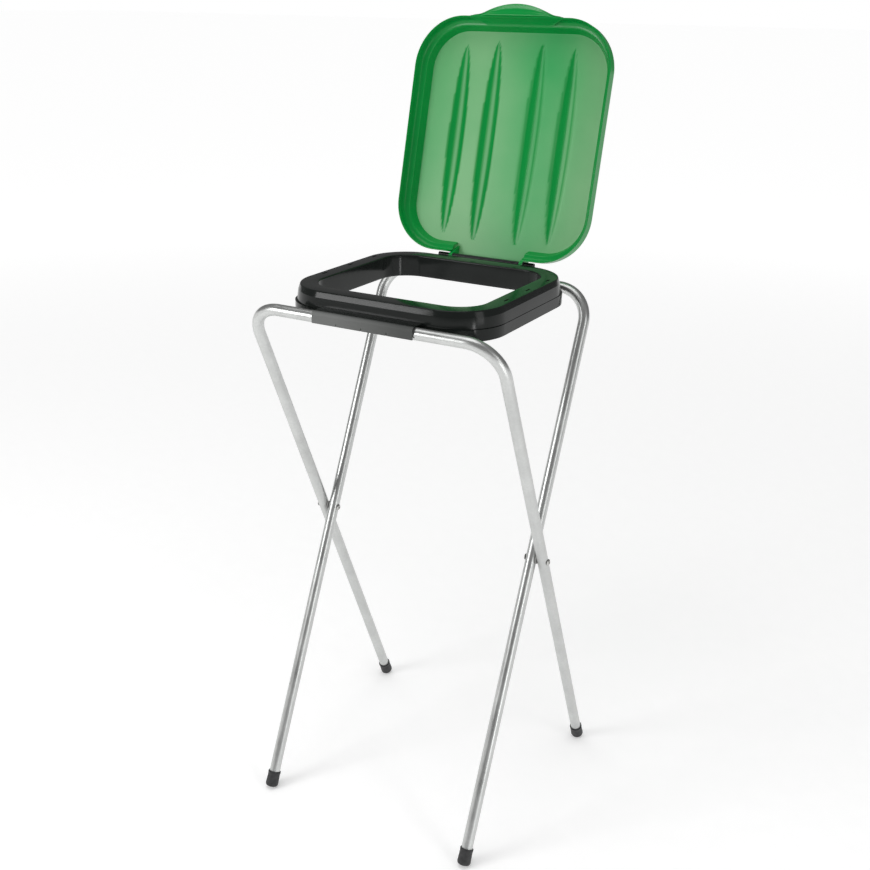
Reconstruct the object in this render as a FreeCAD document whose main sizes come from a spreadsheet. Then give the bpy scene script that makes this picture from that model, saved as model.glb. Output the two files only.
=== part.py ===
import FreeCAD, Part
import Sketcher
import math
import os

# Free-standing bin bag holder: two crossed tube frames that fold about a pair of rivets, a two-part
# moulded ring that hangs on their top tubes, and a hinged lid shown standing open.
# X runs to the right, Y to the rear, Z up; the origin is on the floor under the middle of the ring.

V = FreeCAD.Vector

doc = FreeCAD.newDocument("bag_holder")
sheet = doc.addObject("Spreadsheet::Sheet", "dims")

# name, value in millimetres or degrees, what it is
DIMENSIONS = [
    ("tube_dia", 18.0, "outside diameter of the leg tubes"),
    ("tube_wall", 1.0, "wall of the leg tubes"),
    ("bar_height", 850.0, "axis of the top tubes above the floor"),
    ("bar_reach", 180.0, "axis of each top tube from the middle"),
    ("foot_reach", 207.0, "where each leg axis meets the floor from the middle"),
    ("bend_radius", 53.0, "centre line radius of the tube bends"),
    ("outer_half", 209.0, "half spacing of the legs of the front frame"),
    ("leg_gap", 2.0, "gap between the crossing legs"),
    ("rivet_dia", 6.0, "shank of the pivot rivets"),
    ("rivet_fit", 0.08, "radial running clearance on the rivet"),
    ("rivet_seat", 0.03, "radial clearance of the rivet in its own frame"),
    ("head_dia", 11.0, "head of the pivot rivets"),
    ("head_height", 2.4, "height of the rivet heads"),
    ("side_play", 0.3, "axial play of the moving legs"),
    ("spacer_dia", 14.0, "outside diameter of the pivot spacers"),
    ("foot_dia", 22.0, "outside diameter of the rubber feet"),
    ("foot_length", 27.0, "length of the rubber feet"),
    ("foot_floor", 4.0, "rubber under the tube end"),
    ("foot_round", 5.0, "rounding under the feet"),
    ("ring_top", 32.0, "top face of the ring above the tube axis"),
    ("rim_side", 26.6, "width of the top face at the sides"),
    ("rim_end", 27.8, "width of the top face at front and rear"),
    ("mouth_r", 45.0, "corner radius of the ring mouth"),
    ("mouth_wall", 33.6, "depth of the inner wall of the clamp ring"),
    ("crown_x", 166.0, "half width of the clamp ring at its top"),
    ("crown_inset", 21.2, "top edge of the clamp ring inside the tube axes"),
    ("crown_r", 72.0, "corner radius of the clamp ring at its top"),
    ("shoulder_z", 23.0, "lower end of the shoulder above the tube axis"),
    ("shoulder_out", 3.0, "spread of the shoulder"),
    ("hem_out", 5.2, "spread of the lower edge of the clamp ring"),
    ("ring_wall", 2.4, "wall of the mouldings of the ring"),
    ("crown_round", 2.4, "rounding of the outer top edge"),
    ("mouth_round", 1.6, "rounding of the inner top edge"),
    ("ledge_side", 0.6, "step from the clamp ring out to the base ring at the sides"),
    ("ledge_end", 0.6, "the same step at front and rear"),
    ("band_r", 72.0, "corner radius of the base ring"),
    ("band_top", 7.0, "parting plane above the tube axis"),
    ("band_bottom", -9.7, "lower edge of the base ring from the tube axis"),
    ("shelf_z", -4.0, "underside of the shelf of the base ring from the tube axis"),
    ("bag_gap", 1.4, "gap for the bag film between the two inner walls"),
    ("bag_wall_top", 23.0, "top of the inner wall of the base ring above the tube axis"),
    ("clip_half", 83.8, "half length of the front clip"),
    ("clip_mid", -4.2, "middle of the front clip from the middle of the ring"),
    ("sleeve_half", 88.0, "half length of the rear sleeve and of the hinge above it"),
    ("clip_top", 11.3, "top face of the front clip and of the sleeve above the tube axis"),
    ("clip_low", -6.5, "lower edge of the front clip from the tube axis"),
    ("clip_wall", 2.3, "wall of the front clip and of the webs"),
    ("clip_round", 6.0, "rounding of the front clip"),
    ("ledge_width", 6.0, "width of the ledge under the clamp ring"),
    ("web_gap", 0.4, "clearance between the clip webs and the clamp ring"),
    ("clip_play", 0.3, "clearance between the front clip and its tube"),
    ("sleeve_fit", 0.08, "radial running clearance of the rear sleeve"),
    ("sleeve_gap", 100.0, "angle left open under the rear sleeve"),
    ("notch_width", 1.4, "snap notches in the front clip"),
    ("notch_height", 4.0, "height of the snap notches"),
    ("latch_inset", 9.5, "latch slots inside the top edge"),
    ("latch_length", 13.0, "length of the latch slots"),
    ("latch_width", 3.2, "width of the latch slots"),
    ("latch_step", 71.0, "spacing of the latch slots"),
    ("latch_mid", 13.0, "place of the middle latch slot"),
    ("stiffener_step_x", 30.0, "spacing of the stiffeners at front and rear"),
    ("stiffener_step_y", 28.0, "spacing of the stiffeners at the sides"),
    ("stiffener_wall", 1.8, "thickness of the stiffeners"),
    ("stiffener_run", 11.0, "length of the stiffeners inside the outer band"),
    ("hinge_back", 1.8, "lid hinge axis behind the rear tube axis"),
    ("hinge_z", 27.3, "lid hinge axis above the rear tube axis"),
    ("hinge_web", 3.0, "thickness of the web under the hinge barrel"),
    ("barrel_dia", 8.4, "hinge barrel"),
    ("pin_dia", 4.4, "stub pins of the lid"),
    ("pin_fit", 0.08, "radial running clearance of the stub pins"),
    ("pin_length", 10.0, "length of the stub pins on each side of an arm"),
    ("hinge_play", 0.5, "end play of the lid arms between the knuckles"),
    ("lid_angle", 103.8, "opening angle of the lid"),
    ("lid_side", 8.0, "overhang of the lid at the sides of the ring"),
    ("lid_front", 24.3, "front edge of the lid in front of the front tube axis"),
    ("lid_back", 5.5, "rear edge of the lid in front of the hinge axis"),
    ("tongue_back", 2.0, "rear edge of the tongue in front of the hinge axis"),
    ("lid_rear_r", 78.5, "rear corner radius of the lid"),
    ("lid_front_r", 81.5, "front corner radius of the lid"),
    ("lid_wall", 2.2, "wall of the lid"),
    ("lid_seat", 5.0, "underside of the lid border over the hinge axis"),
    ("skirt_depth", 18.0, "depth of the lid skirt"),
    ("border", 12.4, "width of the flat border of the lid"),
    ("step_depth", 15.0, "height of the raised panel over the border"),
    ("step_draft", 5.7, "draft of the step wall"),
    ("edge_round", 4.0, "rounding of the lid border"),
    ("panel_round", 3.2, "rounding of the panel edge"),
    ("tongue_half", 66.0, "half width of the hinge tongue"),
    ("tongue_run", 11.9, "how far the tongue runs in under the panel"),
    ("arm_width", 4.0, "thickness of the hinge arms"),
    ("arm_root", 12.0, "length of the root of the hinge arms"),
    ("heel_radius", 3.0, "rounding of the stop heel"),
    ("heel_drop", 13.5, "centre of the stop heel below the hinge axis, lid open"),
    ("heel_play", 0.3, "gap between the stop heel and the sleeve"),
    ("tab_reach", 20.0, "thumb tab in front of the lid"),
    ("tab_half", 65.5, "half width of the thumb tab"),
    ("rib_inner_x", 39.4, "inner ribs from the middle"),
    ("rib_outer_x", 97.2, "outer ribs from the middle"),
    ("rib_rear", 22.5, "rear end of the inner ribs from the rear edge of the lid"),
    ("rib_front", 33.1, "front end of the inner ribs from the front edge of the lid"),
    ("rib_trim", 8.0, "how much each end of the outer ribs stops short"),
    ("rib_width", 32.0, "greatest width of the ribs"),
    ("rib_height", 5.0, "height of the ribs over the panel"),
]

for row, (name, value, note) in enumerate(DIMENSIONS, start=1):
    sheet.set("A%d" % row, name)
    sheet.set("B%d" % row, repr(value))
    sheet.set("C%d" % row, note)
    sheet.setAlias("B%d" % row, name)
doc.recompute()


def dim(name):
    return float(sheet.get(name))


def bind(obj, prop, text):
    """Drives one property from the sheet; every bare alias in the text is a dimension."""
    words = sorted((n for n, _, _ in DIMENSIONS), key=len, reverse=True)
    out = ""
    i = 0
    while i < len(text):
        hit = next((w for w in words if text.startswith(w, i)), None)
        edge = i == 0 or not (text[i - 1].isalnum() or text[i - 1] in "_.")
        if hit and edge:
            out += "dims." + hit
            i += len(hit)
        else:
            out += text[i]
            i += 1
    obj.setExpression(prop, out)


# Derived values used by several sub-parts
RADIUS = dim("tube_dia") / 2
INNER_HALF = dim("outer_half") - dim("tube_dia") - dim("leg_gap")
RUN = dim("bar_reach") + dim("foot_reach")
LEG = math.hypot(RUN, dim("bar_height"))
LEAN = math.degrees(math.atan2(RUN, dim("bar_height")))
PIVOT_Z = dim("bar_height") * dim("foot_reach") / RUN
PIVOT_ALONG = math.hypot(dim("bar_reach"), dim("bar_height") - PIVOT_Z)
CROWN_Y = dim("bar_reach") - dim("crown_inset")
MOUTH_X = dim("crown_x") - dim("rim_side")
MOUTH_Y = CROWN_Y - dim("rim_end")
BAND_X = dim("crown_x") + dim("hem_out") + dim("ledge_side")
BAND_Y = CROWN_Y + dim("hem_out") + dim("ledge_end")
BARREL_HALF = dim("tongue_half") - dim("arm_width") - dim("hinge_play")
KNUCKLE_START = dim("tongue_half") + dim("lid_wall") + dim("hinge_play")
HINGE_Y = dim("bar_reach") + dim("hinge_back")
LID_HALF = dim("crown_x") + dim("lid_side")
LID_LENGTH = HINGE_Y - dim("lid_back") + dim("bar_reach") + dim("lid_front")
RIB_HALF = (LID_LENGTH - dim("rib_rear") - dim("rib_front")) / 2
RIB_MID = dim("lid_back") + dim("rib_rear") + RIB_HALF


def foot_rise():
    """Distance of the foot's end face from the floor, measured along the leg."""
    round_r = dim("foot_round")
    side = dim("foot_dia") / 2 - round_r
    lean = math.radians(LEAN)
    return (round_r + side * math.sin(lean)) / math.cos(lean) - round_r


def body(name):
    b = doc.addObject("PartDesign::Body", name)
    b.Label = name
    return b


def plane(b, role):
    return next(f for f in b.Origin.OriginFeatures if f.Role == role)


def sketch(b, name, role, shift=V(0, 0, 0)):
    s = b.newObject("Sketcher::SketchObject", name)
    s.AttachmentSupport = [(plane(b, role), "")]
    s.MapMode = "FlatFace"
    s.AttachmentOffset = FreeCAD.Placement(shift, FreeCAD.Rotation())
    return s


def line(s, a, b):
    s.addGeometry(Part.LineSegment(V(a[0], a[1], 0), V(b[0], b[1], 0)), False)


def polygon(s, points):
    for a, b in zip(points, points[1:] + points[:1]):
        line(s, a, b)


def box(s, x0, x1, y0, y1):
    polygon(s, [(x0, y0), (x1, y0), (x1, y1), (x0, y1)])


def circle(s, x, y, r):
    s.addGeometry(Part.Circle(V(x, y, 0), V(0, 0, 1), r), False)


def arc(s, x, y, r, a0, a1):
    c = Part.Circle(V(x, y, 0), V(0, 0, 1), r)
    s.addGeometry(Part.ArcOfCircle(c, math.radians(a0), math.radians(a1)), False)


def round_box(s, x0, x1, y0, y1, r0, r1):
    """Rounded rectangle with corner radius r0 at y0 and r1 at y1."""
    line(s, (x0 + r0, y0), (x1 - r0, y0))
    arc(s, x1 - r0, y0 + r0, r0, -90, 0)
    line(s, (x1, y0 + r0), (x1, y1 - r1))
    arc(s, x1 - r1, y1 - r1, r1, 0, 90)
    line(s, (x1 - r1, y1), (x0 + r1, y1))
    arc(s, x0 + r1, y1 - r1, r1, 90, 180)
    line(s, (x0, y1 - r1), (x0, y0 + r0))
    arc(s, x0 + r0, y0 + r0, r0, 180, 270)


def pad(b, name, s, length, both=False):
    p = b.newObject("PartDesign::Pad", name)
    p.Profile = s
    p.Midplane = both
    if isinstance(length, str):
        bind(p, "Length", length)
    else:
        p.Length = length
    s.Visibility = False
    return p


def pocket(b, name, s, length, both=False, back=False):
    p = b.newObject("PartDesign::Pocket", name)
    p.Profile = s
    p.Midplane = both
    p.Reversed = back
    if isinstance(length, str):
        bind(p, "Length", length)
    else:
        p.Length = length
    s.Visibility = False
    return p


def loft(b, name, kind, low, high):
    f = b.newObject("PartDesign::" + kind, name)
    f.Profile = low
    f.Sections = [high]
    f.Ruled = True
    return f


def edges_at(shape, test):
    """Names of the edges whose every sampled point passes the test."""
    names = []
    for i, e in enumerate(shape.Edges, start=1):
        pts = e.discretize(5)
        if all(test(p) for p in pts):
            names.append("Edge%d" % i)
    return names


def fillet(b, name, test, radius):
    doc.recompute()
    tip = b.Tip
    f = b.newObject("PartDesign::Fillet", name)
    f.Base = (tip, edges_at(tip.Shape, test))
    bind(f, "Radius", radius)
    return f


# Leg frames

def leg_frame(name, half_text, half, hole_text, side):
    """Tube bent to a U; built with its top tube on the local X axis and its legs along minus Y."""
    b = body(name)
    r = dim("bend_radius")
    tip = -(LEG - foot_rise() - dim("foot_floor"))
    path = sketch(b, name + "_path", "XY_Plane")
    line(path, (-half, tip), (-half, -r))
    arc(path, -half + r, -r, r, 90, 180)
    line(path, (-half + r, 0), (half - r, 0))
    arc(path, half - r, -r, r, 0, 90)
    line(path, (half, -r), (half, tip))
    ring = sketch(b, name + "_section", "XZ_Plane", V(0, 0, -tip))
    circle(ring, -half, 0, RADIUS)
    circle(ring, -half, 0, RADIUS - dim("tube_wall"))
    tube = b.newObject("PartDesign::AdditivePipe", name + "_tube")
    tube.Profile = ring
    tube.Spine = (path, ["Edge%d" % i for i in range(1, 6)])
    holes = sketch(b, name + "_holes", "YZ_Plane")
    circle(holes, -PIVOT_ALONG, 0, 1.0)
    holes.addConstraint(Sketcher.Constraint("Radius", 0, 1.0))
    bind(holes, "Constraints[0]", hole_text)
    pocket(b, name + "_bores", holes, "2*outer_half + 40", both=True)
    turn = 90 - LEAN if side > 0 else 90 + LEAN
    b.Placement = FreeCAD.Placement(V(0, side * dim("bar_reach"), dim("bar_height")),
                                    FreeCAD.Rotation(V(1, 0, 0), turn))
    return b


def leg_foot(name, half, side):
    """Rubber cap turned about the leg axis; the side is the side of the floor it stands on."""
    b = body(name)
    s = sketch(b, name + "_half_section", "XZ_Plane")
    r = dim("foot_dia") / 2
    k = dim("foot_round")
    h = dim("foot_length")
    line(s, (0, 0), (r - k, 0))
    arc(s, r - k, k, k, -90, 0)
    line(s, (r, k), (r - 0.5, h))
    line(s, (r - 0.5, h), (RADIUS, h))
    line(s, (RADIUS, h), (RADIUS, dim("foot_floor")))
    line(s, (RADIUS, dim("foot_floor")), (0, dim("foot_floor")))
    line(s, (0, dim("foot_floor")), (0, 0))
    turn = b.newObject("PartDesign::Revolution", name + "_turned")
    turn.Profile = s
    turn.ReferenceAxis = (s, ["V_Axis"])
    turn.Angle = 360
    rise = foot_rise()
    lean = math.radians(LEAN)
    b.Placement = FreeCAD.Placement(
        V(half, side * (dim("foot_reach") - rise * math.sin(lean)), rise * math.cos(lean)),
        FreeCAD.Rotation(V(1, 0, 0), side * LEAN))
    return b


# Pivot

def pivot_rivet(name, side):
    """Rivet through both legs of one side, a domed head at each end."""
    b = body(name)
    out = dim("outer_half") + RADIUS + dim("side_play")
    inn = INNER_HALF - RADIUS
    hr = dim("head_dia") / 2
    hh = dim("head_height")
    sr = dim("rivet_dia") / 2
    s = sketch(b, name + "_half_section", "XZ_Plane")
    ball = (hr * hr + hh * hh) / (2 * hh)
    half = math.degrees(math.asin(hr / ball))
    arc(s, out + hh - ball, 0, ball, 0, half)
    line(s, (out, hr), (out, sr))
    line(s, (out, sr), (inn, sr))
    line(s, (inn, sr), (inn, hr))
    arc(s, inn - hh + ball, 0, ball, 180 - half, 180)
    line(s, (inn - hh, 0), (out + hh, 0))
    turn = b.newObject("PartDesign::Revolution", name + "_turned")
    turn.Profile = s
    turn.ReferenceAxis = (s, ["H_Axis"])
    turn.Angle = 360
    b.Placement = FreeCAD.Placement(V(0, 0, PIVOT_Z), FreeCAD.Rotation(V(0, 0, 1), 0 if side > 0 else 180))
    return b


def pivot_spacer(name, side):
    """Washer between the crossing legs, seated on the leg of the rear frame."""
    b = body(name)
    s = sketch(b, name + "_ring", "YZ_Plane")
    circle(s, 0, 0, dim("spacer_dia") / 2)
    circle(s, 0, 0, dim("rivet_dia") / 2 + dim("rivet_seat"))
    pad(b, name + "_disc", s, "leg_gap - side_play")
    b.Placement = FreeCAD.Placement(V(side * (INNER_HALF + RADIUS), 0, PIVOT_Z),
                                    FreeCAD.Rotation(V(0, 0, 1), 0 if side > 0 else 180))
    return b


# Ring, built with the axes of the top tubes at its own zero height

BITE = 1.0


def latch_places():
    mid = dim("latch_mid")
    step = dim("latch_step")
    x = dim("crown_x") - dim("latch_inset")
    return [(side * x, mid + k * step) for side in (-1, 1) for k in (-1, 0, 1)]


def ring_level(b, name, z, out):
    """Outline of the clamp ring at one level, its crown outline spread by the given amount."""
    s = sketch(b, name, "XY_Plane", V(0, 0, z))
    x = dim("crown_x") + out
    y = CROWN_Y + out
    r = dim("crown_r") + out
    round_box(s, -x, x, -y, y, r, r)
    return s


def clip_back():
    """Rear face of the clip webs, just clear of the clamp ring."""
    return CROWN_Y + dim("hem_out") + dim("web_gap")


def clamp_ring():
    """Upper moulding: a hollow section, open below, with a flared outer and an upright inner wall."""
    b = body("clamp_ring")
    top = dim("ring_top")
    low = dim("band_top")
    t = dim("ring_wall")
    levels = ((low, dim("hem_out")), (dim("shoulder_z"), dim("shoulder_out")), (top, 0.0))
    outer = [ring_level(b, "clamp_level_%d" % i, z, out) for i, (z, out) in enumerate(levels)]
    loft(b, "clamp_wall", "AdditiveLoft", outer[0], outer[1])
    crown = ring_level(b, "clamp_level_3", dim("shoulder_z"), dim("shoulder_out"))
    loft(b, "clamp_shoulder", "AdditiveLoft", crown, outer[2])
    fillet(b, "clamp_crown_round", lambda p: abs(p.z - top) < 1e-3, "crown_round")
    slope = dim("shoulder_out") * t / (top - dim("shoulder_z"))
    inner = [ring_level(b, "clamp_hollow_%d" % i, z, out - t)
             for i, (z, out) in enumerate(((low, dim("hem_out")), (dim("shoulder_z"), dim("shoulder_out")),
                                           (dim("shoulder_z"), dim("shoulder_out")), (top - t, slope)))]
    loft(b, "clamp_hollow", "SubtractiveLoft", inner[0], inner[1])
    loft(b, "clamp_hollow_top", "SubtractiveLoft", inner[2], inner[3])
    wall = sketch(b, "clamp_inner_wall", "XY_Plane", V(0, 0, top - dim("mouth_wall")))
    mx, my, mr = MOUTH_X, MOUTH_Y, dim("mouth_r")
    round_box(wall, -mx - t, mx + t, -my - t, my + t, mr + t, mr + t)
    round_box(wall, -mx, mx, -my, my, mr, mr)
    pad(b, "clamp_inner", wall, "mouth_wall - ring_wall/2")
    mouth = sketch(b, "clamp_mouth", "XY_Plane", V(0, 0, top))
    round_box(mouth, -mx, mx, -my, my, mr, mr)
    pocket(b, "clamp_mouth_cut", mouth, "ring_top - band_bottom")
    fillet(b, "clamp_mouth_round",
           lambda p: abs(p.z - top) < 1e-3 and abs(p.x) < mx + 1 and abs(p.y) < my + 1, "mouth_round")
    slots = sketch(b, "clamp_latch_slots", "XY_Plane", V(0, 0, top))
    for x, y in latch_places():
        w = dim("latch_width") / 2
        h = dim("latch_length") / 2
        box(slots, x - w, x + w, y - h, y + h)
    pocket(b, "clamp_latches", slots, "2*ring_wall")
    b.Placement = FreeCAD.Placement(V(0, 0, dim("bar_height")), FreeCAD.Rotation())
    return b


def clip_profile(s):
    """Front clip: a plate over the tube, a wall in front of it and a web behind it."""
    back = clip_back()
    web = back + dim("clip_wall")
    face = dim("bar_reach") + RADIUS + dim("clip_play") + dim("clip_wall")
    inner = face - dim("clip_wall")
    roof = RADIUS + dim("clip_play")
    top = dim("clip_top")
    low = dim("clip_low")
    k = dim("clip_round")
    j = k - dim("clip_wall")
    line(s, (-back, dim("shelf_z")), (-back, top))
    line(s, (-back, top), (-face + k, top))
    arc(s, -face + k, top - k, k, 90, 180)
    line(s, (-face, top - k), (-face, low))
    line(s, (-face, low), (-inner, low))
    line(s, (-inner, low), (-inner, roof - j))
    arc(s, -inner + j, roof - j, j, 90, 180)
    line(s, (-inner + j, roof), (-web, roof))
    line(s, (-web, roof), (-web, dim("shelf_z")))
    line(s, (-web, dim("shelf_z")), (-back, dim("shelf_z")))


def sleeve_profile(s):
    """Rear sleeve: an open ring round the rear top tube with a plate and a web to the ring."""
    cy = dim("bar_reach")
    cz = 0.0
    bore = RADIUS + dim("sleeve_fit")
    out = dim("clip_top") - cz
    half = math.radians(dim("sleeve_gap") / 2)
    back = clip_back()
    web = back + dim("clip_wall")
    under = cz + math.sqrt(out ** 2 - 5.0 ** 2) - dim("clip_wall")
    join = math.degrees(math.atan2(under - cz, -math.sqrt(out ** 2 - (under - cz) ** 2)))
    a0 = -90 + math.degrees(half)
    arc(s, cy, cz, out, a0, 90)
    arc(s, cy, cz, out, join, 270 - math.degrees(half))
    arc(s, cy, cz, bore, a0, 270 - math.degrees(half))
    for sign in (-1, 1):
        ang = math.radians(-90) + sign * half
        line(s, (cy + bore * math.cos(ang), cz + bore * math.sin(ang)),
             (cy + out * math.cos(ang), cz + out * math.sin(ang)))
    edge = cy - math.sqrt(out ** 2 - (under - cz) ** 2)
    line(s, (cy, dim("clip_top")), (back, dim("clip_top")))
    line(s, (back, dim("clip_top")), (back, dim("shelf_z")))
    line(s, (back, dim("shelf_z")), (web, dim("shelf_z")))
    line(s, (web, dim("shelf_z")), (web, under))
    line(s, (web, under), (edge, under))


def hinge_profile(s):
    """Round knuckle on a thin web that stands on the sleeve."""
    y = HINGE_Y
    z = dim("hinge_z")
    r = dim("barrel_dia") / 2
    w = dim("hinge_web") / 2
    drop = math.sqrt(r ** 2 - w ** 2)
    a = math.degrees(math.asin(w / r))
    foot = dim("clip_top") - 1.5
    arc(s, y, z, r, -90 + a, 270 - a)
    line(s, (y - w, z - drop), (y - w, foot))
    line(s, (y - w, foot), (y + w, foot))
    line(s, (y + w, foot), (y + w, z - drop))


def base_ring():
    """Lower moulding: outer band, shelf, inner wall for the bag, front clip, sleeve and hinge knuckles."""
    b = body("base_ring")
    t = dim("ring_wall")
    bx, by, br = BAND_X, BAND_Y, dim("band_r")
    mx, my, mr = MOUTH_X, MOUTH_Y, dim("mouth_r")
    off = t + dim("bag_gap")
    band = sketch(b, "base_band", "XY_Plane", V(0, 0, dim("band_bottom")))
    round_box(band, -bx, bx, -by, by, br, br)
    k = t + 0.4
    round_box(band, -bx + k, bx - k, -by + k, by - k, br - k, br - k)
    pad(b, "base_outer_band", band, "band_top - band_bottom")
    ledge = sketch(b, "base_ledge_plan", "XY_Plane", V(0, 0, dim("band_top") - t))
    k = dim("ledge_width")
    round_box(ledge, -bx + BITE, bx - BITE, -by + BITE, by - BITE, br - BITE, br - BITE)
    round_box(ledge, -bx + k, bx - k, -by + k, by - k, br - k, br - k)
    pad(b, "base_ledge", ledge, "ring_wall")
    shelf = sketch(b, "base_shelf", "XY_Plane", V(0, 0, dim("shelf_z")))
    round_box(shelf, -bx + BITE, bx - BITE, -by + BITE, by - BITE, br - BITE, br - BITE)
    round_box(shelf, -mx - off, mx + off, -my - off, my + off, mr + off, mr + off)
    pad(b, "base_shelf_plate", shelf, "ring_wall")
    wall = sketch(b, "base_bag_wall", "XY_Plane", V(0, 0, dim("shelf_z")))
    round_box(wall, -mx - off - t, mx + off + t, -my - off - t, my + off + t, mr + off + t, mr + off + t)
    round_box(wall, -mx - off, mx + off, -my - off, my + off, mr + off, mr + off)
    pad(b, "base_inner_wall", wall, "bag_wall_top - shelf_z")
    ribs = sketch(b, "base_ribs", "XY_Plane", V(0, 0, dim("band_bottom") + 1.0))
    h = dim("stiffener_wall") / 2
    run = dim("stiffener_run")
    for k in (-2.5, -1.5, -0.5, 0.5, 1.5, 2.5):
        x = k * dim("stiffener_step_x")
        y = k * dim("stiffener_step_y")
        box(ribs, x - h, x + h, -by + BITE, -by + BITE + run)
        box(ribs, x - h, x + h, by - BITE - run, by - BITE)
        box(ribs, -bx + BITE, -bx + BITE + run, y - h, y + h)
        box(ribs, bx - BITE - run, bx - BITE, y - h, y + h)
    pad(b, "base_stiffening", ribs, "shelf_z - band_bottom")
    hooks = sketch(b, "base_latch_posts", "XY_Plane", V(0, 0, dim("shelf_z") + 1))
    for x, y in latch_places():
        w = dim("latch_width") / 2 - 0.5
        h = dim("latch_length") / 2 - 0.8
        box(hooks, x - w, x + w, y - h, y + h)
    pad(b, "base_latches", hooks, "ring_top - 1.2 - shelf_z - 1")
    clip = sketch(b, "base_clip_profile", "YZ_Plane", V(0, 0, dim("clip_mid")))
    clip_profile(clip)
    pad(b, "base_clip", clip, "2*clip_half", both=True)
    sleeve = sketch(b, "base_sleeve_profile", "YZ_Plane")
    sleeve_profile(sleeve)
    pad(b, "base_sleeve", sleeve, "2*sleeve_half", both=True)
    link = sketch(b, "base_web_link", "XY_Plane", V(0, 0, dim("shelf_z")))
    c = dim("clip_half")
    mid = dim("clip_mid")
    s = dim("sleeve_half")
    e = clip_back() + dim("clip_wall")
    box(link, mid - c, mid + c, -e, -by + 2)
    box(link, -s, s, by - 2, e)
    pad(b, "base_web_root", link, "band_top - shelf_z - 0.4")
    notch = sketch(b, "base_clip_notches", "XZ_Plane", V(0, 0, dim("bar_reach") + RADIUS))
    w = dim("notch_width") / 2
    z = dim("clip_low")
    for x in (mid - c / 2, mid, mid + c / 2):
        box(notch, x - w, x + w, z - 1, z + dim("notch_height"))
    pocket(b, "base_notches", notch, "8", both=True)
    hinge = sketch(b, "base_hinge_profile", "YZ_Plane", V(0, 0, -BARREL_HALF))
    hinge_profile(hinge)
    pad(b, "base_hinge", hinge, "2*(tongue_half - arm_width - hinge_play)")
    for name, x in (("base_knuckle_left", -dim("sleeve_half")), ("base_knuckle_right", KNUCKLE_START)):
        knuckle = sketch(b, name + "_profile", "YZ_Plane", V(0, 0, x))
        hinge_profile(knuckle)
        pad(b, name, knuckle, "sleeve_half - tongue_half - lid_wall - hinge_play")
    bore = sketch(b, "base_hinge_bore", "YZ_Plane")
    circle(bore, HINGE_Y, dim("hinge_z"), dim("pin_dia") / 2 + dim("pin_fit"))
    pocket(b, "base_bore", bore, "2*sleeve_half + 2", both=True)
    b.Placement = FreeCAD.Placement(V(0, 0, dim("bar_height")), FreeCAD.Rotation())
    return b


# Lid, built closed about its hinge axis and turned open by its placement

def lid_outline(s, inset):
    half = LID_HALF - inset
    back = -dim("lid_back") - inset
    front = -dim("lid_back") - LID_LENGTH + inset
    round_box(s, -half, half, front, back, dim("lid_front_r") - inset, dim("lid_rear_r") - inset)


def rib_section(s, half, inset):
    """Half section of one rib, a slim arc turned about an axis under the panel."""
    w = dim("rib_width") / 2
    h = dim("rib_height")
    big = (w * w + h * h) / (2 * h)
    end = big - h - inset
    rise = h
    sweep = (half * half + rise * rise) / (2 * rise)
    ang = math.degrees(math.asin(half / sweep))
    mid = -RIB_MID
    line(s, (mid - half, 0), (mid + half, 0))
    line(s, (mid + half, 0), (mid + half, end))
    arc(s, mid, end + rise - sweep, sweep, 90 - ang, 90 + ang)
    line(s, (mid - half, end), (mid - half, 0))


def lid_rib(b, name, x, half, panel, inset, kind):
    w = dim("rib_width") / 2
    h = dim("rib_height")
    axis = (w * w + h * h) / (2 * h) - h
    s = sketch(b, name + "_section", "YZ_Plane", V(0, panel - axis, x))
    rib_section(s, half, inset)
    f = b.newObject("PartDesign::" + kind, name)
    f.Profile = s
    f.ReferenceAxis = (s, ["H_Axis"])
    f.Midplane = True
    f.Angle = 180
    return f


def heel_place():
    """Centre of the stop heel, closed, so that it meets the rear sleeve when the lid is open."""
    theta = math.radians(dim("lid_angle"))
    reach = dim("clip_top") + dim("heel_radius") + dim("heel_play")
    ay = -dim("hinge_back")
    az = -dim("hinge_z")
    z = -dim("heel_drop")
    y = ay + math.sqrt(reach ** 2 - (z - az) ** 2)
    return y * math.cos(theta) - z * math.sin(theta), y * math.sin(theta) + z * math.cos(theta)


def lid_arm(b, name, x):
    """Hinge arm between the tongue and the hinge axis, with its stop heel and stub pin."""
    top = dim("lid_seat") + dim("step_depth") + 1.0
    r = dim("barrel_dia") / 2 + 0.2
    hy, hz = heel_place()
    hr = dim("heel_radius")
    d = math.hypot(hy, hz)
    along = math.atan2(hz, hy)
    tilt = math.acos((r - hr) / d)
    lo = along - tilt
    hi = along + tilt
    low0 = (r * math.cos(lo), r * math.sin(lo))
    low1 = (hy + hr * math.cos(lo), hz + hr * math.sin(lo))
    up1 = (hy + hr * math.cos(hi), hz + hr * math.sin(hi))
    s = sketch(b, name + "_side", "YZ_Plane", V(0, 0, x))
    back = -dim("lid_back")
    front = back - dim("arm_root")
    dist = math.hypot(front, top)
    base = math.atan2(top, front)
    left = base + math.acos(r / dist)
    tang = (r * math.cos(left), r * math.sin(left))
    arc(s, 0, 0, r, math.degrees(left), math.degrees(lo) + 360)
    line(s, low0, low1)
    arc(s, hy, hz, hr, math.degrees(lo), math.degrees(hi))
    line(s, up1, (back, top))
    line(s, (back, top), (front, top))
    line(s, (front, top), tang)
    pad(b, name, s, "arm_width + lid_wall")


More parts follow.
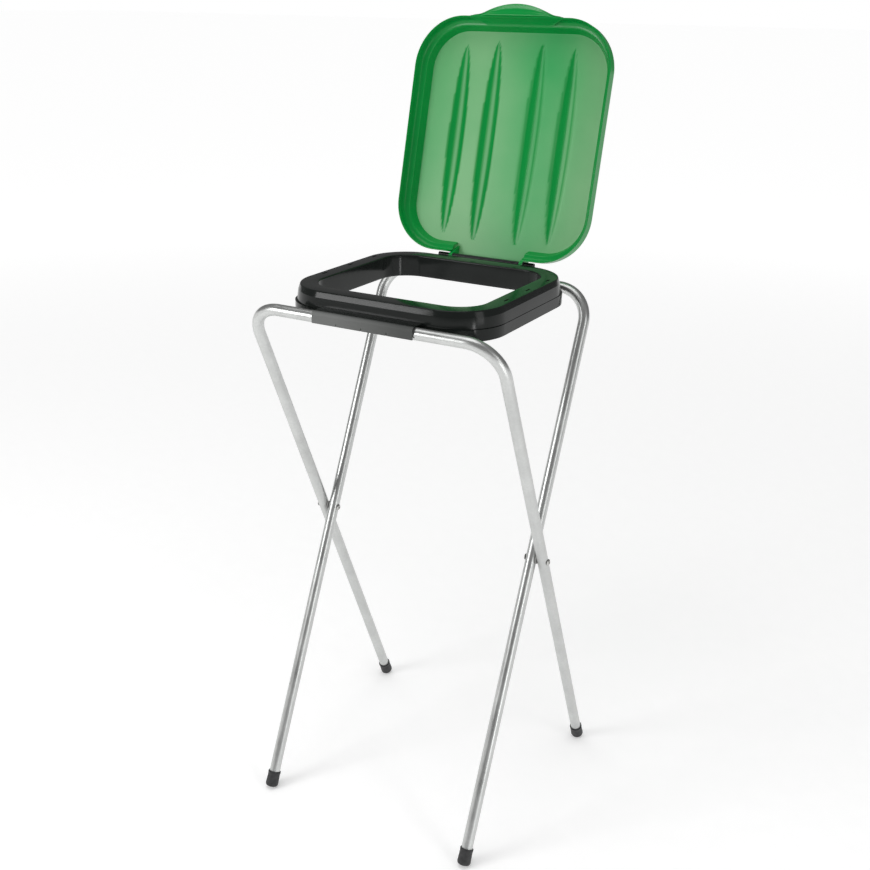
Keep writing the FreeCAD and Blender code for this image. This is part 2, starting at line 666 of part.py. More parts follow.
def lid():
    """Shell with a skirt, a flat border, a raised ribbed panel, a thumb tab and a hinge tongue."""
    b = body("lid")
    t = dim("lid_wall")
    seat = dim("lid_seat")
    rim = seat - dim("skirt_depth")
    panel = seat + dim("step_depth")
    edge = dim("border")
    draft = dim("step_draft")
    skin = sketch(b, "lid_skin", "XY_Plane", V(0, 0, rim))
    lid_outline(skin, 0)
    pad(b, "lid_block", skin, "skirt_depth + lid_wall")
    fillet(b, "lid_edge_round", lambda p: abs(p.z - seat - t) < 1e-3, "edge_round")
    low = sketch(b, "lid_step_low", "XY_Plane", V(0, 0, seat + t - 0.5))
    lid_outline(low, edge - t)
    high = sketch(b, "lid_step_high", "XY_Plane", V(0, 0, panel + t))
    lid_outline(high, edge + draft - t)
    loft(b, "lid_step", "AdditiveLoft", low, high)
    fillet(b, "lid_panel_round", lambda p: abs(p.z - panel - t) < 1e-3, "panel_round")
    half = dim("tongue_half")
    back = -dim("lid_back")
    tongue = sketch(b, "lid_tongue_plan", "XY_Plane", V(0, 0, seat))
    run = edge + draft + dim("tongue_run")
    rear = -dim("tongue_back")
    box(tongue, -half - t, half + t, back - run, rear)
    pad(b, "lid_tongue", tongue, "step_depth + lid_wall")
    short = RIB_HALF - dim("rib_trim")
    ribs = [("lid_rib_a", -dim("rib_outer_x"), short), ("lid_rib_b", -dim("rib_inner_x"), RIB_HALF),
            ("lid_rib_c", dim("rib_inner_x"), RIB_HALF), ("lid_rib_d", dim("rib_outer_x"), short)]
    for name, x, h in ribs:
        lid_rib(b, name, x, h, panel + t, 0, "Revolution")
    tab = sketch(b, "lid_tab_plan", "XY_Plane", V(0, 0, rim))
    reach = dim("tab_reach")
    tr = (dim("tab_half") ** 2 + reach ** 2) / (2 * reach)
    circle(tab, 0, back - LID_LENGTH - reach + tr, tr)
    pad(b, "lid_tab", tab, "lid_wall")
    inside = sketch(b, "lid_inside", "XY_Plane", V(0, 0, rim))
    lid_outline(inside, t)
    pocket(b, "lid_hollow", inside, "skirt_depth", back=True)
    low = sketch(b, "lid_hollow_low", "XY_Plane", V(0, 0, seat - 0.5))
    lid_outline(low, edge)
    high = sketch(b, "lid_hollow_high", "XY_Plane", V(0, 0, panel))
    lid_outline(high, edge + draft)
    loft(b, "lid_panel_hollow", "SubtractiveLoft", low, high)
    for name, x, h in ribs:
        lid_rib(b, name + "_valley", x, h, panel + t, t, "Groove")
    way = sketch(b, "lid_tongue_way", "XY_Plane", V(0, 0, rim - 1))
    box(way, -half, half, back - run, rear + 1)
    pocket(b, "lid_tongue_hollow", way, "skirt_depth + step_depth + 1", back=True)
    arm = dim("arm_width")
    lid_arm(b, "lid_arm_left", -half - t)
    lid_arm(b, "lid_arm_right", half - arm)
    out = dim("pin_length")
    for name, x in (("lid_pin_left", -half - t - out), ("lid_pin_right", half - arm - out)):
        s = sketch(b, name + "_plan", "YZ_Plane", V(0, 0, x))
        circle(s, 0, 0, dim("pin_dia") / 2)
        pad(b, name, s, "arm_width + lid_wall + 2*pin_length")
    b.Placement = FreeCAD.Placement(V(0, HINGE_Y, dim("bar_height") + dim("hinge_z")),
                                    FreeCAD.Rotation(V(1, 0, 0), -dim("lid_angle")))
    return b


NODES = [
    leg_frame("rear_leg_frame", "rear", INNER_HALF, "rivet_dia/2 + rivet_seat", 1),
    leg_frame("front_leg_frame", "front", dim("outer_half"), "rivet_dia/2 + rivet_fit", -1),
    leg_foot("foot_front_left", -INNER_HALF, -1),
    leg_foot("foot_front_right", INNER_HALF, -1),
    leg_foot("foot_rear_left", -dim("outer_half"), 1),
    leg_foot("foot_rear_right", dim("outer_half"), 1),
    pivot_rivet("pivot_rivet_left", -1),
    pivot_rivet("pivot_rivet_right", 1),
    pivot_spacer("pivot_spacer_left", -1),
    pivot_spacer("pivot_spacer_right", 1),
    base_ring(),
    clamp_ring(),
    lid(),
]

doc.recompute()
for obj in doc.Objects:
    if "Invalid" in obj.State or "Error" in obj.State:
        raise RuntimeError("%s did not build: %s" % (obj.Name, obj.State))

os.makedirs("parts", exist_ok=True)
for node in NODES:
    shape = node.Shape
    if shape.isNull() or not shape.isValid() or not shape.Solids:
        raise RuntimeError("%s has no valid solid" % node.Label)
    box_ = shape.BoundBox
    print("%-20s solids %d  volume %10.0f  x %8.2f %8.2f  y %8.2f %8.2f  z %8.2f %8.2f" % (
        node.Label, len(shape.Solids), shape.Volume, box_.XMin, box_.XMax,
        box_.YMin, box_.YMax, box_.ZMin, box_.ZMax))
    shape.exportStep("parts/%s.step" % node.Label)
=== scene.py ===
import math

import bmesh
import bpy
from mathutils import Matrix, Vector
from mathutils.geometry import delaunay_2d_cdt


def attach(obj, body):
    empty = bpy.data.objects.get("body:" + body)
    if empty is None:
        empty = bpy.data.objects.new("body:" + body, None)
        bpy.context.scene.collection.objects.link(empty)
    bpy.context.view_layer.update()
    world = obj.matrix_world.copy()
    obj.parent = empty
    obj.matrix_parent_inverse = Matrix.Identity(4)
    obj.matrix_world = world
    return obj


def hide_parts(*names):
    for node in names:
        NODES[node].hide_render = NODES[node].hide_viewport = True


bl_info = {
    "name": "Folding bag stand",
    "version": (1, 0, 0),
    "blender": (4, 5, 0),
    "location": "3D View > Sidebar > Bag Stand",
    "description": "Dresses the folding stand with its tubes, ring mouldings and lid",
    "category": "Object",
}

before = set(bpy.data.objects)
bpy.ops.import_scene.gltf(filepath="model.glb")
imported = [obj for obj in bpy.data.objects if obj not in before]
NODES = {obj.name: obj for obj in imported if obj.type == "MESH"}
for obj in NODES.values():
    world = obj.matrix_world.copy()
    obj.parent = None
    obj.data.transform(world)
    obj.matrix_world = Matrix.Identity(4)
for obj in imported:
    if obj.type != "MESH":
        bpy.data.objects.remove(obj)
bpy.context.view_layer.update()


# Fixed sizes

RIM_WIDTH, RING_DEPTH = 0.0270, 0.0336
# heights of the closed lid over its hinge axis: the rim, and the inner faces of border and panel
LID_RIM, LID_SEAT, LID_PANEL = -0.013, 0.005, 0.020
TONGUE_HALF, ARM_WIDTH, HEEL_RADIUS = 0.066, 0.004, 0.003
PIN_RADIUS, PIN_REACH = 0.0022, 0.010
# middle of the ribs along the lid, and the half lengths of the inner and the outer ones
RIB_MIDDLE, RIB_HALVES = 0.1905, (0.1625, 0.1545)


# Settings

def length_prop(name, description, default, **limits):
    """A length in metres."""
    return bpy.props.FloatProperty(
        name=name, description=description, default=default, unit="LENGTH", precision=4, **limits)


def lengths_prop(name, description, default):
    """Several lengths in metres."""
    return bpy.props.FloatVectorProperty(
        name=name, description=description, default=default, size=len(default), unit="LENGTH", precision=4)


def colour_prop(name, description, default):
    """A linear colour."""
    return bpy.props.FloatVectorProperty(
        name=name, description=description, default=default, size=3, min=0, max=1, subtype="COLOR")


def power_prop(name, description, default):
    """The power of a light in watts."""
    return bpy.props.FloatProperty(name=name, description=description, default=default, unit="POWER")


class TubeSettings(bpy.types.PropertyGroup):
    """Sizes of the two bent leg frames, their feet and rivets."""

    diameter: length_prop("Tube diameter", "Outside diameter of the leg tubes", 0.018, min=0.01, max=0.03)
    bend: length_prop("Bend radius", "Centre line radius of the tube bends", 0.053, min=0.02, max=0.1)
    bar_height: length_prop("Bar height", "Axis of the top tubes above the floor", 0.85, min=0.5, max=1.2)
    bar_reach: length_prop("Bar reach", "Axis of each top tube from the middle", 0.18, min=0.1, max=0.3)
    foot_reach: length_prop("Foot reach", "Where each leg axis meets the floor", 0.207, min=0.1, max=0.4)
    outer_half: length_prop(
        "Front frame half width", "Leg axis of the front frame from the middle", 0.209, min=0.1, max=0.3)
    inner_half: length_prop(
        "Rear frame half width", "Leg axis of the rear frame from the middle", 0.189, min=0.1, max=0.3)
    foot_diameter: length_prop(
        "Foot diameter", "Outside diameter of the rubber feet", 0.022, min=0.015, max=0.04)
    foot_length: length_prop("Foot length", "Length of the rubber feet", 0.027, min=0.01, max=0.05)
    zinc: colour_prop("Zinc colour", "Colour of the plated tubes", (0.60, 0.61, 0.60))


class RingSettings(bpy.types.PropertyGroup):
    """Sizes of the clamp ring and colour of the black mouldings."""

    crown: lengths_prop(
        "Crown outline", "Half width, half depth and corner radius of the top edge", (0.166, 0.1588, 0.072))
    mouth: lengths_prop(
        "Mouth outline", "Half width, half depth and corner radius of the mouth", (0.1394, 0.131, 0.045))
    top: length_prop("Ring top", "Top face of the ring above the floor", 0.882)
    wall: length_prop("Wall", "Wall of the mouldings", 0.0024)
    slot: lengths_prop("Latch slot", "Width, length and spacing of the latch slots", (0.0032, 0.013, 0.071))
    black: colour_prop("Black", "Colour of the black mouldings", (0.0105, 0.0125, 0.0115))


class LidSettings(bpy.types.PropertyGroup):
    """Sizes of the lid, in its closed position about the hinge axis."""

    hinge: lengths_prop("Hinge axis", "A point on the hinge axis", (0.0, 0.1818, 0.8773))
    opening: bpy.props.FloatProperty(
        name="Opening", description="Angle at which the lid stands open",
        default=math.radians(103.8), subtype="ANGLE")
    half: length_prop("Half width", "Half width of the lid", 0.174)
    length: length_prop("Length", "Length of the lid", 0.3806)
    back: length_prop("Rear edge", "Rear edge of the lid from the hinge axis", 0.0055)
    radii: lengths_prop("Corner radii", "Front and rear corner radius", (0.0815, 0.0785))
    wall: length_prop("Wall", "Wall of the lid", 0.0022)
    rib_width: length_prop("Rib width", "Greatest width of a rib", 0.032)
    rib_places: lengths_prop("Rib places", "Inner and outer ribs from the middle", (0.0394, 0.0972))
    rib_height: length_prop("Rib height", "Height of a rib over the panel", 0.005)
    border_green: colour_prop("Border green", "Colour of the polished border and ribs", (0.0, 0.27, 0.044))
    panel_green: colour_prop("Panel green", "Colour of the satin panel", (0.02, 0.36, 0.09))
    # the bloom green is the colour of a painted reflection on the satin panel
    painted_reflection_green: colour_prop(
        "Bloom green", "Colour of the satin panel where its bloom is strongest", (0.24, 0.50, 0.24))


class StageSettings(bpy.types.PropertyGroup):
    """Camera and light."""

    eye: bpy.props.FloatVectorProperty(
        name="Camera place", description="Where the camera stands",
        default=(0.8450069, -1.4846576, 1.2852469), size=3, subtype="TRANSLATION", unit="LENGTH")
    yaw: bpy.props.FloatProperty(
        name="Yaw", description="Turn of the view to the left", default=0.51204137, subtype="ANGLE")
    pitch: bpy.props.FloatProperty(
        name="Pitch", description="Downward tilt of the view", default=0.36852124, subtype="ANGLE")
    roll: bpy.props.FloatProperty(
        name="Roll", description="Roll of the camera", default=0.01464896, subtype="ANGLE")
    lens: bpy.props.FloatProperty(
        name="Lens", description="Focal length in millimetres", default=47.108345)
    sky: bpy.props.FloatProperty(
        name="Sky", description="Strength of the all-round light", default=0.55)
    room: bpy.props.FloatProperty(
        name="Room", description="Strength of the room above the floor as gloss reflects it", default=0.16)
    strip: power_prop("Strip light", "Power of the low strip at the right", 3.0)
    key: power_prop("Key light", "Power of the soft light at the front left", 16.0)
    fill: power_prop("Fill light", "Power of the soft light at the right", 7.0)
    top: power_prop("Top light", "Power of the soft light overhead", 22.0)


# Mesh helpers

def new_piece(name, bm, material):
    """Makes a finished piece from a bmesh, shaded smooth."""
    mesh = bpy.data.meshes.new(name)
    bm.to_mesh(mesh)
    bm.free()
    piece = bpy.data.objects.new(name, mesh)
    bpy.context.scene.collection.objects.link(piece)
    mesh.materials.append(material)
    for face in mesh.polygons:
        face.use_smooth = True
    return piece


def apply_modifiers(piece):
    """Turns the piece with its modifiers into a plain mesh."""
    graph = bpy.context.evaluated_depsgraph_get()
    mesh = bpy.data.meshes.new_from_object(
        piece.evaluated_get(graph), preserve_all_data_layers=True, depsgraph=graph)
    piece.modifiers.clear()
    old = piece.data
    piece.data = mesh
    mesh.name = piece.name
    bpy.data.meshes.remove(old)
    return piece


def sharpen(piece, angle=35.0):
    """Marks the edges over the angle as sharp, for smooth shading elsewhere."""
    piece.data.set_sharp_from_angle(angle=math.radians(angle))


def rounded(points, radii, steps=6, closed=False):
    """The polyline with each inner corner replaced by an arc of its own radius."""
    out = []
    count = len(points)
    for i, p in enumerate(points):
        r = radii[i]
        if r <= 0 or (not closed and i in (0, count - 1)):
            out.append(Vector(p))
            continue
        a = (Vector(points[i - 1]) - Vector(p)).normalized()
        b = (Vector(points[(i + 1) % count]) - Vector(p)).normalized()
        half = a.angle(b) / 2
        reach = r / math.tan(half)
        centre = Vector(p) + (a + b).normalized() * (r / math.sin(half))
        start = Vector(p) + a * reach - centre
        sweep = math.pi - 2 * half
        side = 1.0 if (-a).x * b.y - (-a).y * b.x > 0 else -1.0
        for k in range(steps + 1):
            t = side * sweep * k / steps
            out.append(centre + Vector((start.x * math.cos(t) - start.y * math.sin(t),
                                        start.x * math.sin(t) + start.y * math.cos(t))))
    return out


def bridge(bm, rows):
    """Quads between closed rows of equal length, the last row joined to the first."""
    for low, high in zip(rows, rows[1:] + rows[:1]):
        n = len(low)
        for i in range(n):
            j = (i + 1) % n
            bm.faces.new((low[i], low[j], high[j], high[i]))


def lathe(bm, profile, steps, place):
    """Turns a profile of (radius, height) about the local Z axis, and puts it in place."""
    rows = []
    for radius, height in profile:
        turns = [2 * math.pi * k / steps for k in range(steps if radius > 1e-7 else 1)]
        rows.append([bm.verts.new(place @ Vector((radius * math.cos(a), radius * math.sin(a), height)))
                     for a in turns])
    for low, high in zip(rows, rows[1:]):
        for i in range(steps):
            j = (i + 1) % steps
            corners = (low[i % len(low)], low[j % len(low)], high[j % len(high)], high[i % len(high)])
            bm.faces.new(list(dict.fromkeys(corners)))


def plate(bm, outline, x0, x1):
    """Extrudes an outline of (y, z) along X between two planes."""
    sides = [[bm.verts.new((x, y, z)) for y, z in outline] for x in (x0, x1)]
    n = len(outline)
    bm.faces.new(sides[0][::-1])
    bm.faces.new(sides[1])
    for i in range(n):
        j = (i + 1) % n
        bm.faces.new((sides[0][i], sides[0][j], sides[1][j], sides[1][i]))


def round_outline(x, y, r, corner, side):
    """Points round a rounded rectangle about the middle, from its right front corner turning left."""
    arcs = []
    for cx, cy, start in ((x - r, r - y, -90), (x - r, y - r, 0), (r - x, y - r, 90), (r - x, r - y, 180)):
        turns = (math.radians(start + 90.0 * k / corner) for k in range(corner + 1))
        arcs.append([Vector((cx + r * math.cos(a), cy + r * math.sin(a))) for a in turns])
    out = []
    for arc, after in zip(arcs, arcs[1:] + arcs[:1]):
        out += arc + [arc[-1].lerp(after[0], k / side) for k in range(1, side)]
    return out


# Material helpers

def start_material(name):
    """A new node material with its shader, ready for links."""
    mat = bpy.data.materials.new(name)
    mat.use_nodes = True
    tree = mat.node_tree
    shader = tree.nodes["Principled BSDF"]
    return mat, tree, shader


def add(tree, kind, **values):
    """Adds a node and sets its properties or inputs by name."""
    node = tree.nodes.new(kind)
    for key, value in values.items():
        if hasattr(node, key):
            setattr(node, key, value)
        else:
            node.inputs[key.replace("_", " ")].default_value = value
    return node


def wire(tree, kind, sources, **values):
    """Adds a node and links its inputs, named or numbered, to the sockets given."""
    node = add(tree, kind, **values)
    for place, source in sources.items():
        tree.links.new(source, node.inputs[place])
    return node


def join(tree, operation, a, b, **values):
    """Joins two sockets by a Math node."""
    return wire(tree, "ShaderNodeMath", {0: a, 1: b}, operation=operation, **values).outputs["Value"]


def noise(tree, where, scale, detail=3.0, rough=0.5, stretch=(1, 1, 1), turn=(0, 0, 0)):
    """Noise on the given coordinates, stretched and turned by a Mapping node."""
    mapping = wire(tree, "ShaderNodeMapping", {"Vector": where}, Scale=stretch, Rotation=turn)
    tex = wire(tree, "ShaderNodeTexNoise", {"Vector": mapping.outputs["Vector"]},
               Scale=scale, Detail=detail, Roughness=rough)
    return tex.outputs["Fac"]


def remap(tree, value, low=0.0, high=1.0, start=0.3, end=0.7):
    """Maps a value from start..end to low..high."""
    return wire(tree, "ShaderNodeMapRange", {"Value": value}, From_Min=start, From_Max=end,
                To_Min=low, To_Max=high).outputs["Result"]


def blend_colour(tree, factor, a, b):
    """Mixes two colours, each a tuple or a socket."""
    node = wire(tree, "ShaderNodeMix", {"Factor": factor}, data_type="RGBA")
    for socket, value in ((node.inputs[6], a), (node.inputs[7], b)):
        if isinstance(value, (tuple, list)):
            socket.default_value = (*value, 1.0)
        else:
            tree.links.new(value, socket)
    return node.outputs[2]


def bump(tree, shader, height, strength, distance):
    """Adds a bump over what the shader's normal has already."""
    node = wire(tree, "ShaderNodeBump", {"Height": height}, Strength=strength, Distance=distance)
    if shader.inputs["Normal"].is_linked:
        tree.links.new(shader.inputs["Normal"].links[0].from_socket, node.inputs["Normal"])
    tree.links.new(node.outputs["Normal"], shader.inputs["Normal"])


def finish(tree, shader, colour, rough):
    """Links the shader's colour and roughness."""
    tree.links.new(colour, shader.inputs["Base Color"])
    tree.links.new(rough, shader.inputs["Roughness"])


def object_coordinates(tree):
    """Coordinates that stay with the object."""
    return add(tree, "ShaderNodeTexCoord").outputs["Object"]


def scaled(colour, k):
    """A lighter or darker colour."""
    return tuple(min(1.0, c * k) for c in colour)


# Finishes

def zinc_plate(colour):
    """Zinc plated tube: drawn along its length, with faint spangle and a dull bloom."""
    mat, tree, shader = start_material("zinc_plate")
    way = add(tree, "ShaderNodeAttribute", attribute_name="tube_way").outputs["Vector"]
    spot = object_coordinates(tree)
    drawn = noise(tree, way, 900.0, 4.0, 0.6, (0.02, 1.0, 1.0))
    bloom = noise(tree, spot, 22.0, 3.0, 0.55)
    spangle = noise(tree, spot, 260.0, 2.0, 0.5)
    shade = blend_colour(tree, remap(tree, bloom), scaled(colour, 0.9), scaled(colour, 1.1))
    shade = blend_colour(tree, remap(tree, spangle, 0.0, 0.35), shade, scaled(colour, 0.84))
    finish(tree, shader, shade,
           join(tree, "ADD", remap(tree, drawn, 0.22, 0.36), remap(tree, bloom, 0.0, 0.1)))
    shader.inputs["Metallic"].default_value = 0.92
    bump(tree, shader, drawn, 0.06, 0.0002)
    bump(tree, shader, spangle, 0.03, 0.0002)
    return mat


def rivet_steel():
    """Plated rivet steel, worn, its tone and roughness slightly uneven with a fine grain."""
    mat, tree, shader = start_material("rivet_steel")
    spot = object_coordinates(tree)
    grain = noise(tree, spot, 700.0, 3.0)
    shade = blend_colour(tree, remap(tree, grain), (0.42, 0.42, 0.4), (0.62, 0.62, 0.6))
    finish(tree, shader, shade, remap(tree, grain, 0.25, 0.45))
    shader.inputs["Metallic"].default_value = 1.0
    bump(tree, shader, grain, 0.08, 0.0002)
    return mat


def spacer_nylon():
    """Grey nylon washer."""
    mat, tree, shader = start_material("spacer_nylon")
    grain = noise(tree, object_coordinates(tree), 500.0, 3.0)
    shade = blend_colour(tree, remap(tree, grain), (0.28, 0.28, 0.27), (0.36, 0.36, 0.35))
    finish(tree, shader, shade, remap(tree, grain, 0.45, 0.6))
    bump(tree, shader, grain, 0.05, 0.0002)
    return mat


def foot_rubber():
    """Black rubber with a fine pitted skin and a little dust low down."""
    mat, tree, shader = start_material("foot_rubber")
    spot = object_coordinates(tree)
    pits = noise(tree, spot, 1500.0, 2.0, 0.6)
    patch = noise(tree, spot, 160.0, 3.0)
    shade = blend_colour(tree, remap(tree, patch), (0.018, 0.018, 0.019), (0.04, 0.04, 0.042))
    finish(tree, shader, shade, remap(tree, pits, 0.42, 0.7))
    bump(tree, shader, pits, 0.25, 0.0003)
    return mat


def black_moulding(colour):
    """Glossy black moulding: soft sink marks, faint flow, fine handling scuffs and a painted highlight on
    the front clip.
    """
    mat, tree, shader = start_material("black_moulding")
    spot = object_coordinates(tree)
    flow = noise(tree, spot, 14.0, 2.0, 0.5)
    scuff = noise(tree, spot, 420.0, 5.0, 0.7, (1.0, 0.25, 1.0))
    axes = wire(tree, "ShaderNodeSeparateXYZ", {"Vector": spot})
    # the outer face of the front clip is matt and painted grey, most of all at its left end, as in the
    # photograph; whether that is wear or light isn't known
    # that grey is a painted highlight: the light on the clip is put into its colour
    clip = remap(tree, axes.outputs["Y"], 1.0, 0.0, -0.1905, -0.184)
    clip_painted_highlight = join(tree, "MULTIPLY", remap(tree, axes.outputs["X"], 1.0, 0.45, -0.05, 0.06), clip)
    skin = blend_colour(tree, remap(tree, flow), scaled(colour, 0.85), scaled(colour, 1.25))
    finish(tree, shader, blend_colour(tree, clip_painted_highlight, skin, (0.16, 0.165, 0.16)),
           join(tree, "ADD", remap(tree, scuff, 0.1, 0.19), remap(tree, clip, 0.0, 0.4, 0.0, 1.0)))
    shader.inputs["Specular IOR Level"].default_value = 0.2
    bump(tree, shader, flow, 0.12, 0.0015)
    bump(tree, shader, scuff, 0.02, 0.0002)
    return mat


def green_moulding(settings):
    """Green lid: a satin panel with a painted reflection, an uneven bloom; its border, walls and ribs are
    polished.
    """
    mat, tree, shader = start_material("green_moulding")
    spot = object_coordinates(tree)
    # the lid's own frame: X across, Y along the lid from the hinge, Z away from the panel
    local = wire(tree, "ShaderNodeMapping", {"Vector": spot}, vector_type="TEXTURE",
                 Location=settings.hinge, Rotation=(-settings.opening, 0, 0))
    axes = wire(tree, "ShaderNodeSeparateXYZ", {"Vector": local.outputs["Vector"]})
    # satin marks the satin panel; on the ribs it also carries painted light and shade
    satin = add(tree, "ShaderNodeAttribute", attribute_name="satin").outputs["Fac"]
    # the bloom is a painted reflection: it is strongest between the left ribs and fades to the right and
    # away from the hinge;
    # its levels are fitted to the photograph, where much of it is reflected light
    across = wire(tree, "ShaderNodeValToRGB",
                  {"Fac": remap(tree, axes.outputs["X"], 0.0, 1.0, -0.16, 0.16)})
    stops = across.color_ramp
    stops.interpolation = "B_SPLINE"
    for place, painted_reflection_level in ((0.0, 0.34), (0.29, 0.86), (0.5, 0.5), (0.71, 0.0), (1.0, 0.16)):
        stop = stops.elements[0] if place == 0.0 else stops.elements.new(place)
        stop.color = (painted_reflection_level, painted_reflection_level, painted_reflection_level, 1.0)
    stops.elements.remove(stops.elements[-1])
    cloud = noise(tree, spot, 9.0, 3.0, 0.5)
    along = remap(tree, axes.outputs["Y"], 0.12, -0.08, -0.02, -0.30)
    bloom = join(tree, "ADD", across.outputs["Color"], remap(tree, cloud, -0.1, 0.1))
    painted_reflection_level = join(tree, "ADD", bloom, along, use_clamp=True)
    panel = blend_colour(tree, painted_reflection_level, tuple(settings.panel_green), tuple(settings.painted_reflection_green))
    border = blend_colour(tree, remap(tree, cloud), scaled(settings.border_green, 0.94),
                          scaled(settings.border_green, 1.06))
    fine = noise(tree, spot, 1300.0, 3.0, 0.6)
    rough = wire(tree, "ShaderNodeMath", {0: satin, 2: remap(tree, fine, 0.2, 0.28)},
                 operation="MULTIPLY_ADD")
    rough.inputs[1].default_value = 0.16
    finish(tree, shader, blend_colour(tree, satin, border, panel), rough.outputs["Value"])
    shader.inputs["Specular IOR Level"].default_value = 0.28
    bump(tree, shader, noise(tree, spot, 18.0, 2.0), 0.08, 0.0012)
    bump(tree, shader, fine, 0.03, 0.0002)
    return mat


def seen_rays(tree, light):
    """1 for the rays that show a thing to the camera, straight or through another thing."""
    return join(tree, "MAXIMUM", light.outputs["Is Camera Ray"], light.outputs["Is Transmission Ray"])


def studio_paper():
    """Pale floor: it shows the object's shadow and is white where nothing shades it."""
    mat, tree, shader = start_material("studio_paper")
    fibre = noise(tree, object_coordinates(tree), 30.0, 2.0)
    tree.links.new(blend_colour(tree, remap(tree, fibre), (0.9, 0.9, 0.9), (0.92, 0.92, 0.92)),
                   shader.inputs["Base Color"])
    shader.inputs["Roughness"].default_value = 0.9
    shader.inputs["Specular IOR Level"].default_value = 0.1
    # the lamps reach less far than the paper, which glows a little more out there
    far = wire(tree, "ShaderNodeVectorMath", {0: object_coordinates(tree)}, operation="LENGTH")
    glow = wire(tree, "ShaderNodeEmission",
                {"Strength": remap(tree, far.outputs["Value"], 0.24, 0.5, 0.8, 5.0)})
    both = wire(tree, "ShaderNodeAddShader", {0: shader.outputs["BSDF"], 1: glow.outputs["Emission"]})
    light = add(tree, "ShaderNodeLightPath")
    mirrored = join(tree, "MAXIMUM", seen_rays(tree, light), light.outputs["Is Glossy Ray"])
    pick = wire(tree, "ShaderNodeMixShader",
                {"Fac": mirrored, 1: shader.outputs["BSDF"], 2: both.outputs["Shader"]})
    tree.links.new(pick.outputs["Shader"], tree.nodes["Material Output"].inputs["Surface"])
    return mat


# Geometry Nodes helpers

def tree_with(name, inputs):
    """A geometry tree with a geometry input and output and named number inputs."""
    tree = bpy.data.node_groups.new(name, "GeometryNodeTree")
    tree.interface.new_socket("Geometry", in_out="INPUT", socket_type="NodeSocketGeometry")
    names = {}
    for label, value in inputs.items():
        kind = "NodeSocketInt" if isinstance(value, int) else "NodeSocketFloat"
        socket = tree.interface.new_socket(label, in_out="INPUT", socket_type=kind)
        socket.default_value = value
        names[label] = socket.identifier
    tree.interface.new_socket("Geometry", in_out="OUTPUT", socket_type="NodeSocketGeometry")
    return tree, tree.nodes.new("NodeGroupInput"), tree.nodes.new("NodeGroupOutput"), names


def finish_tree(tree, geometry, out, material):
    """Ends a tree in Realize Instances and Set Material."""
    real = wire(tree, "GeometryNodeRealizeInstances", {"Geometry": geometry}).outputs["Geometry"]
    ready = wire(tree, "GeometryNodeSetMaterial", {"Geometry": real}, Material=material)
    tree.links.new(ready.outputs["Geometry"], out.inputs["Geometry"])


def run_tree(piece, tree, names, values):
    """Puts the tree on the piece with its inputs set by identifier, then makes a plain mesh."""
    mod = piece.modifiers.new(tree.name, "NODES")
    mod.node_group = tree
    for label, value in values.items():
        mod[names[label]] = value
    return apply_modifiers(piece)


# Leg frames

def with_length(tree, curve, label):
    """Captures each point's length along its curve; gives the curve and the value."""
    hold = add(tree, "GeometryNodeCaptureAttribute")
    hold.capture_items.new("FLOAT", label)
    tree.links.new(curve, hold.inputs["Geometry"])
    tree.links.new(add(tree, "GeometryNodeSplineParameter").outputs["Length"], hold.inputs[label])
    return hold.outputs["Geometry"], hold.outputs[label]


def tube_tree(material):
    """Tube along a bent path: the corners are rounded and the section swept, with its own coordinates."""
    tree, given, out, names = tree_with("bent_tube", {
        "Bend Radius": 0.053, "Tube Radius": 0.009, "Bend Steps": 28, "Round Steps": 40})
    sizes = given.outputs
    path = wire(tree, "GeometryNodeMeshToCurve", {"Mesh": sizes["Geometry"]})
    bend = add(tree, "GeometryNodeFilletCurve", mode="POLY")
    for name, source in (("Curve", path.outputs["Curve"]), ("Count", sizes["Bend Steps"]),
                         ("Radius", sizes["Bend Radius"])):
        tree.links.new(source, bend.inputs[name])
    ring = wire(tree, "GeometryNodeCurvePrimitiveCircle",
                {"Resolution": sizes["Round Steps"], "Radius": sizes["Tube Radius"]})
    line, along = with_length(tree, bend.outputs["Curve"], "Length")
    section, turn = with_length(tree, ring.outputs["Curve"], "Round")
    sweep = wire(tree, "GeometryNodeCurveToMesh", {"Curve": line, "Profile Curve": section}, Fill_Caps=True)
    way = wire(tree, "ShaderNodeCombineXYZ", {"X": along, "Y": turn})
    store = add(tree, "GeometryNodeStoreNamedAttribute", data_type="FLOAT_VECTOR", domain="POINT",
                Name="tube_way")
    tree.links.new(sweep.outputs["Mesh"], store.inputs["Geometry"])
    tree.links.new(way.outputs["Vector"], store.inputs["Value"])
    smooth = wire(tree, "GeometryNodeSetShadeSmooth", {"Geometry": store.outputs["Geometry"]})
    finish_tree(tree, smooth.outputs["Geometry"], out, material)
    return tree, names


def leg_lean(tubes):
    """Angle of the legs from upright."""
    return math.atan2(tubes.bar_reach + tubes.foot_reach, tubes.bar_height)


def foot_rise(tubes):
    """Distance of the foot's end face from the floor, measured along the leg."""
    round_r = 0.005
    side = tubes.foot_diameter / 2 - round_r
    lean = leg_lean(tubes)
    return (round_r + side * math.sin(lean)) / math.cos(lean) - round_r


def tube_path(tubes, half, side):
    """The four corners of one leg frame: foot, bend, bend, foot. The side is that of its top bar."""
    lean = leg_lean(tubes)
    rise = foot_rise(tubes) + 0.004
    foot_y = -side * (tubes.foot_reach - rise * math.sin(lean))
    foot_z = rise * math.cos(lean)
    top_y = side * tubes.bar_reach
    return [(-half, foot_y, foot_z), (-half, top_y, tubes.bar_height),
            (half, top_y, tubes.bar_height), (half, foot_y, foot_z)]


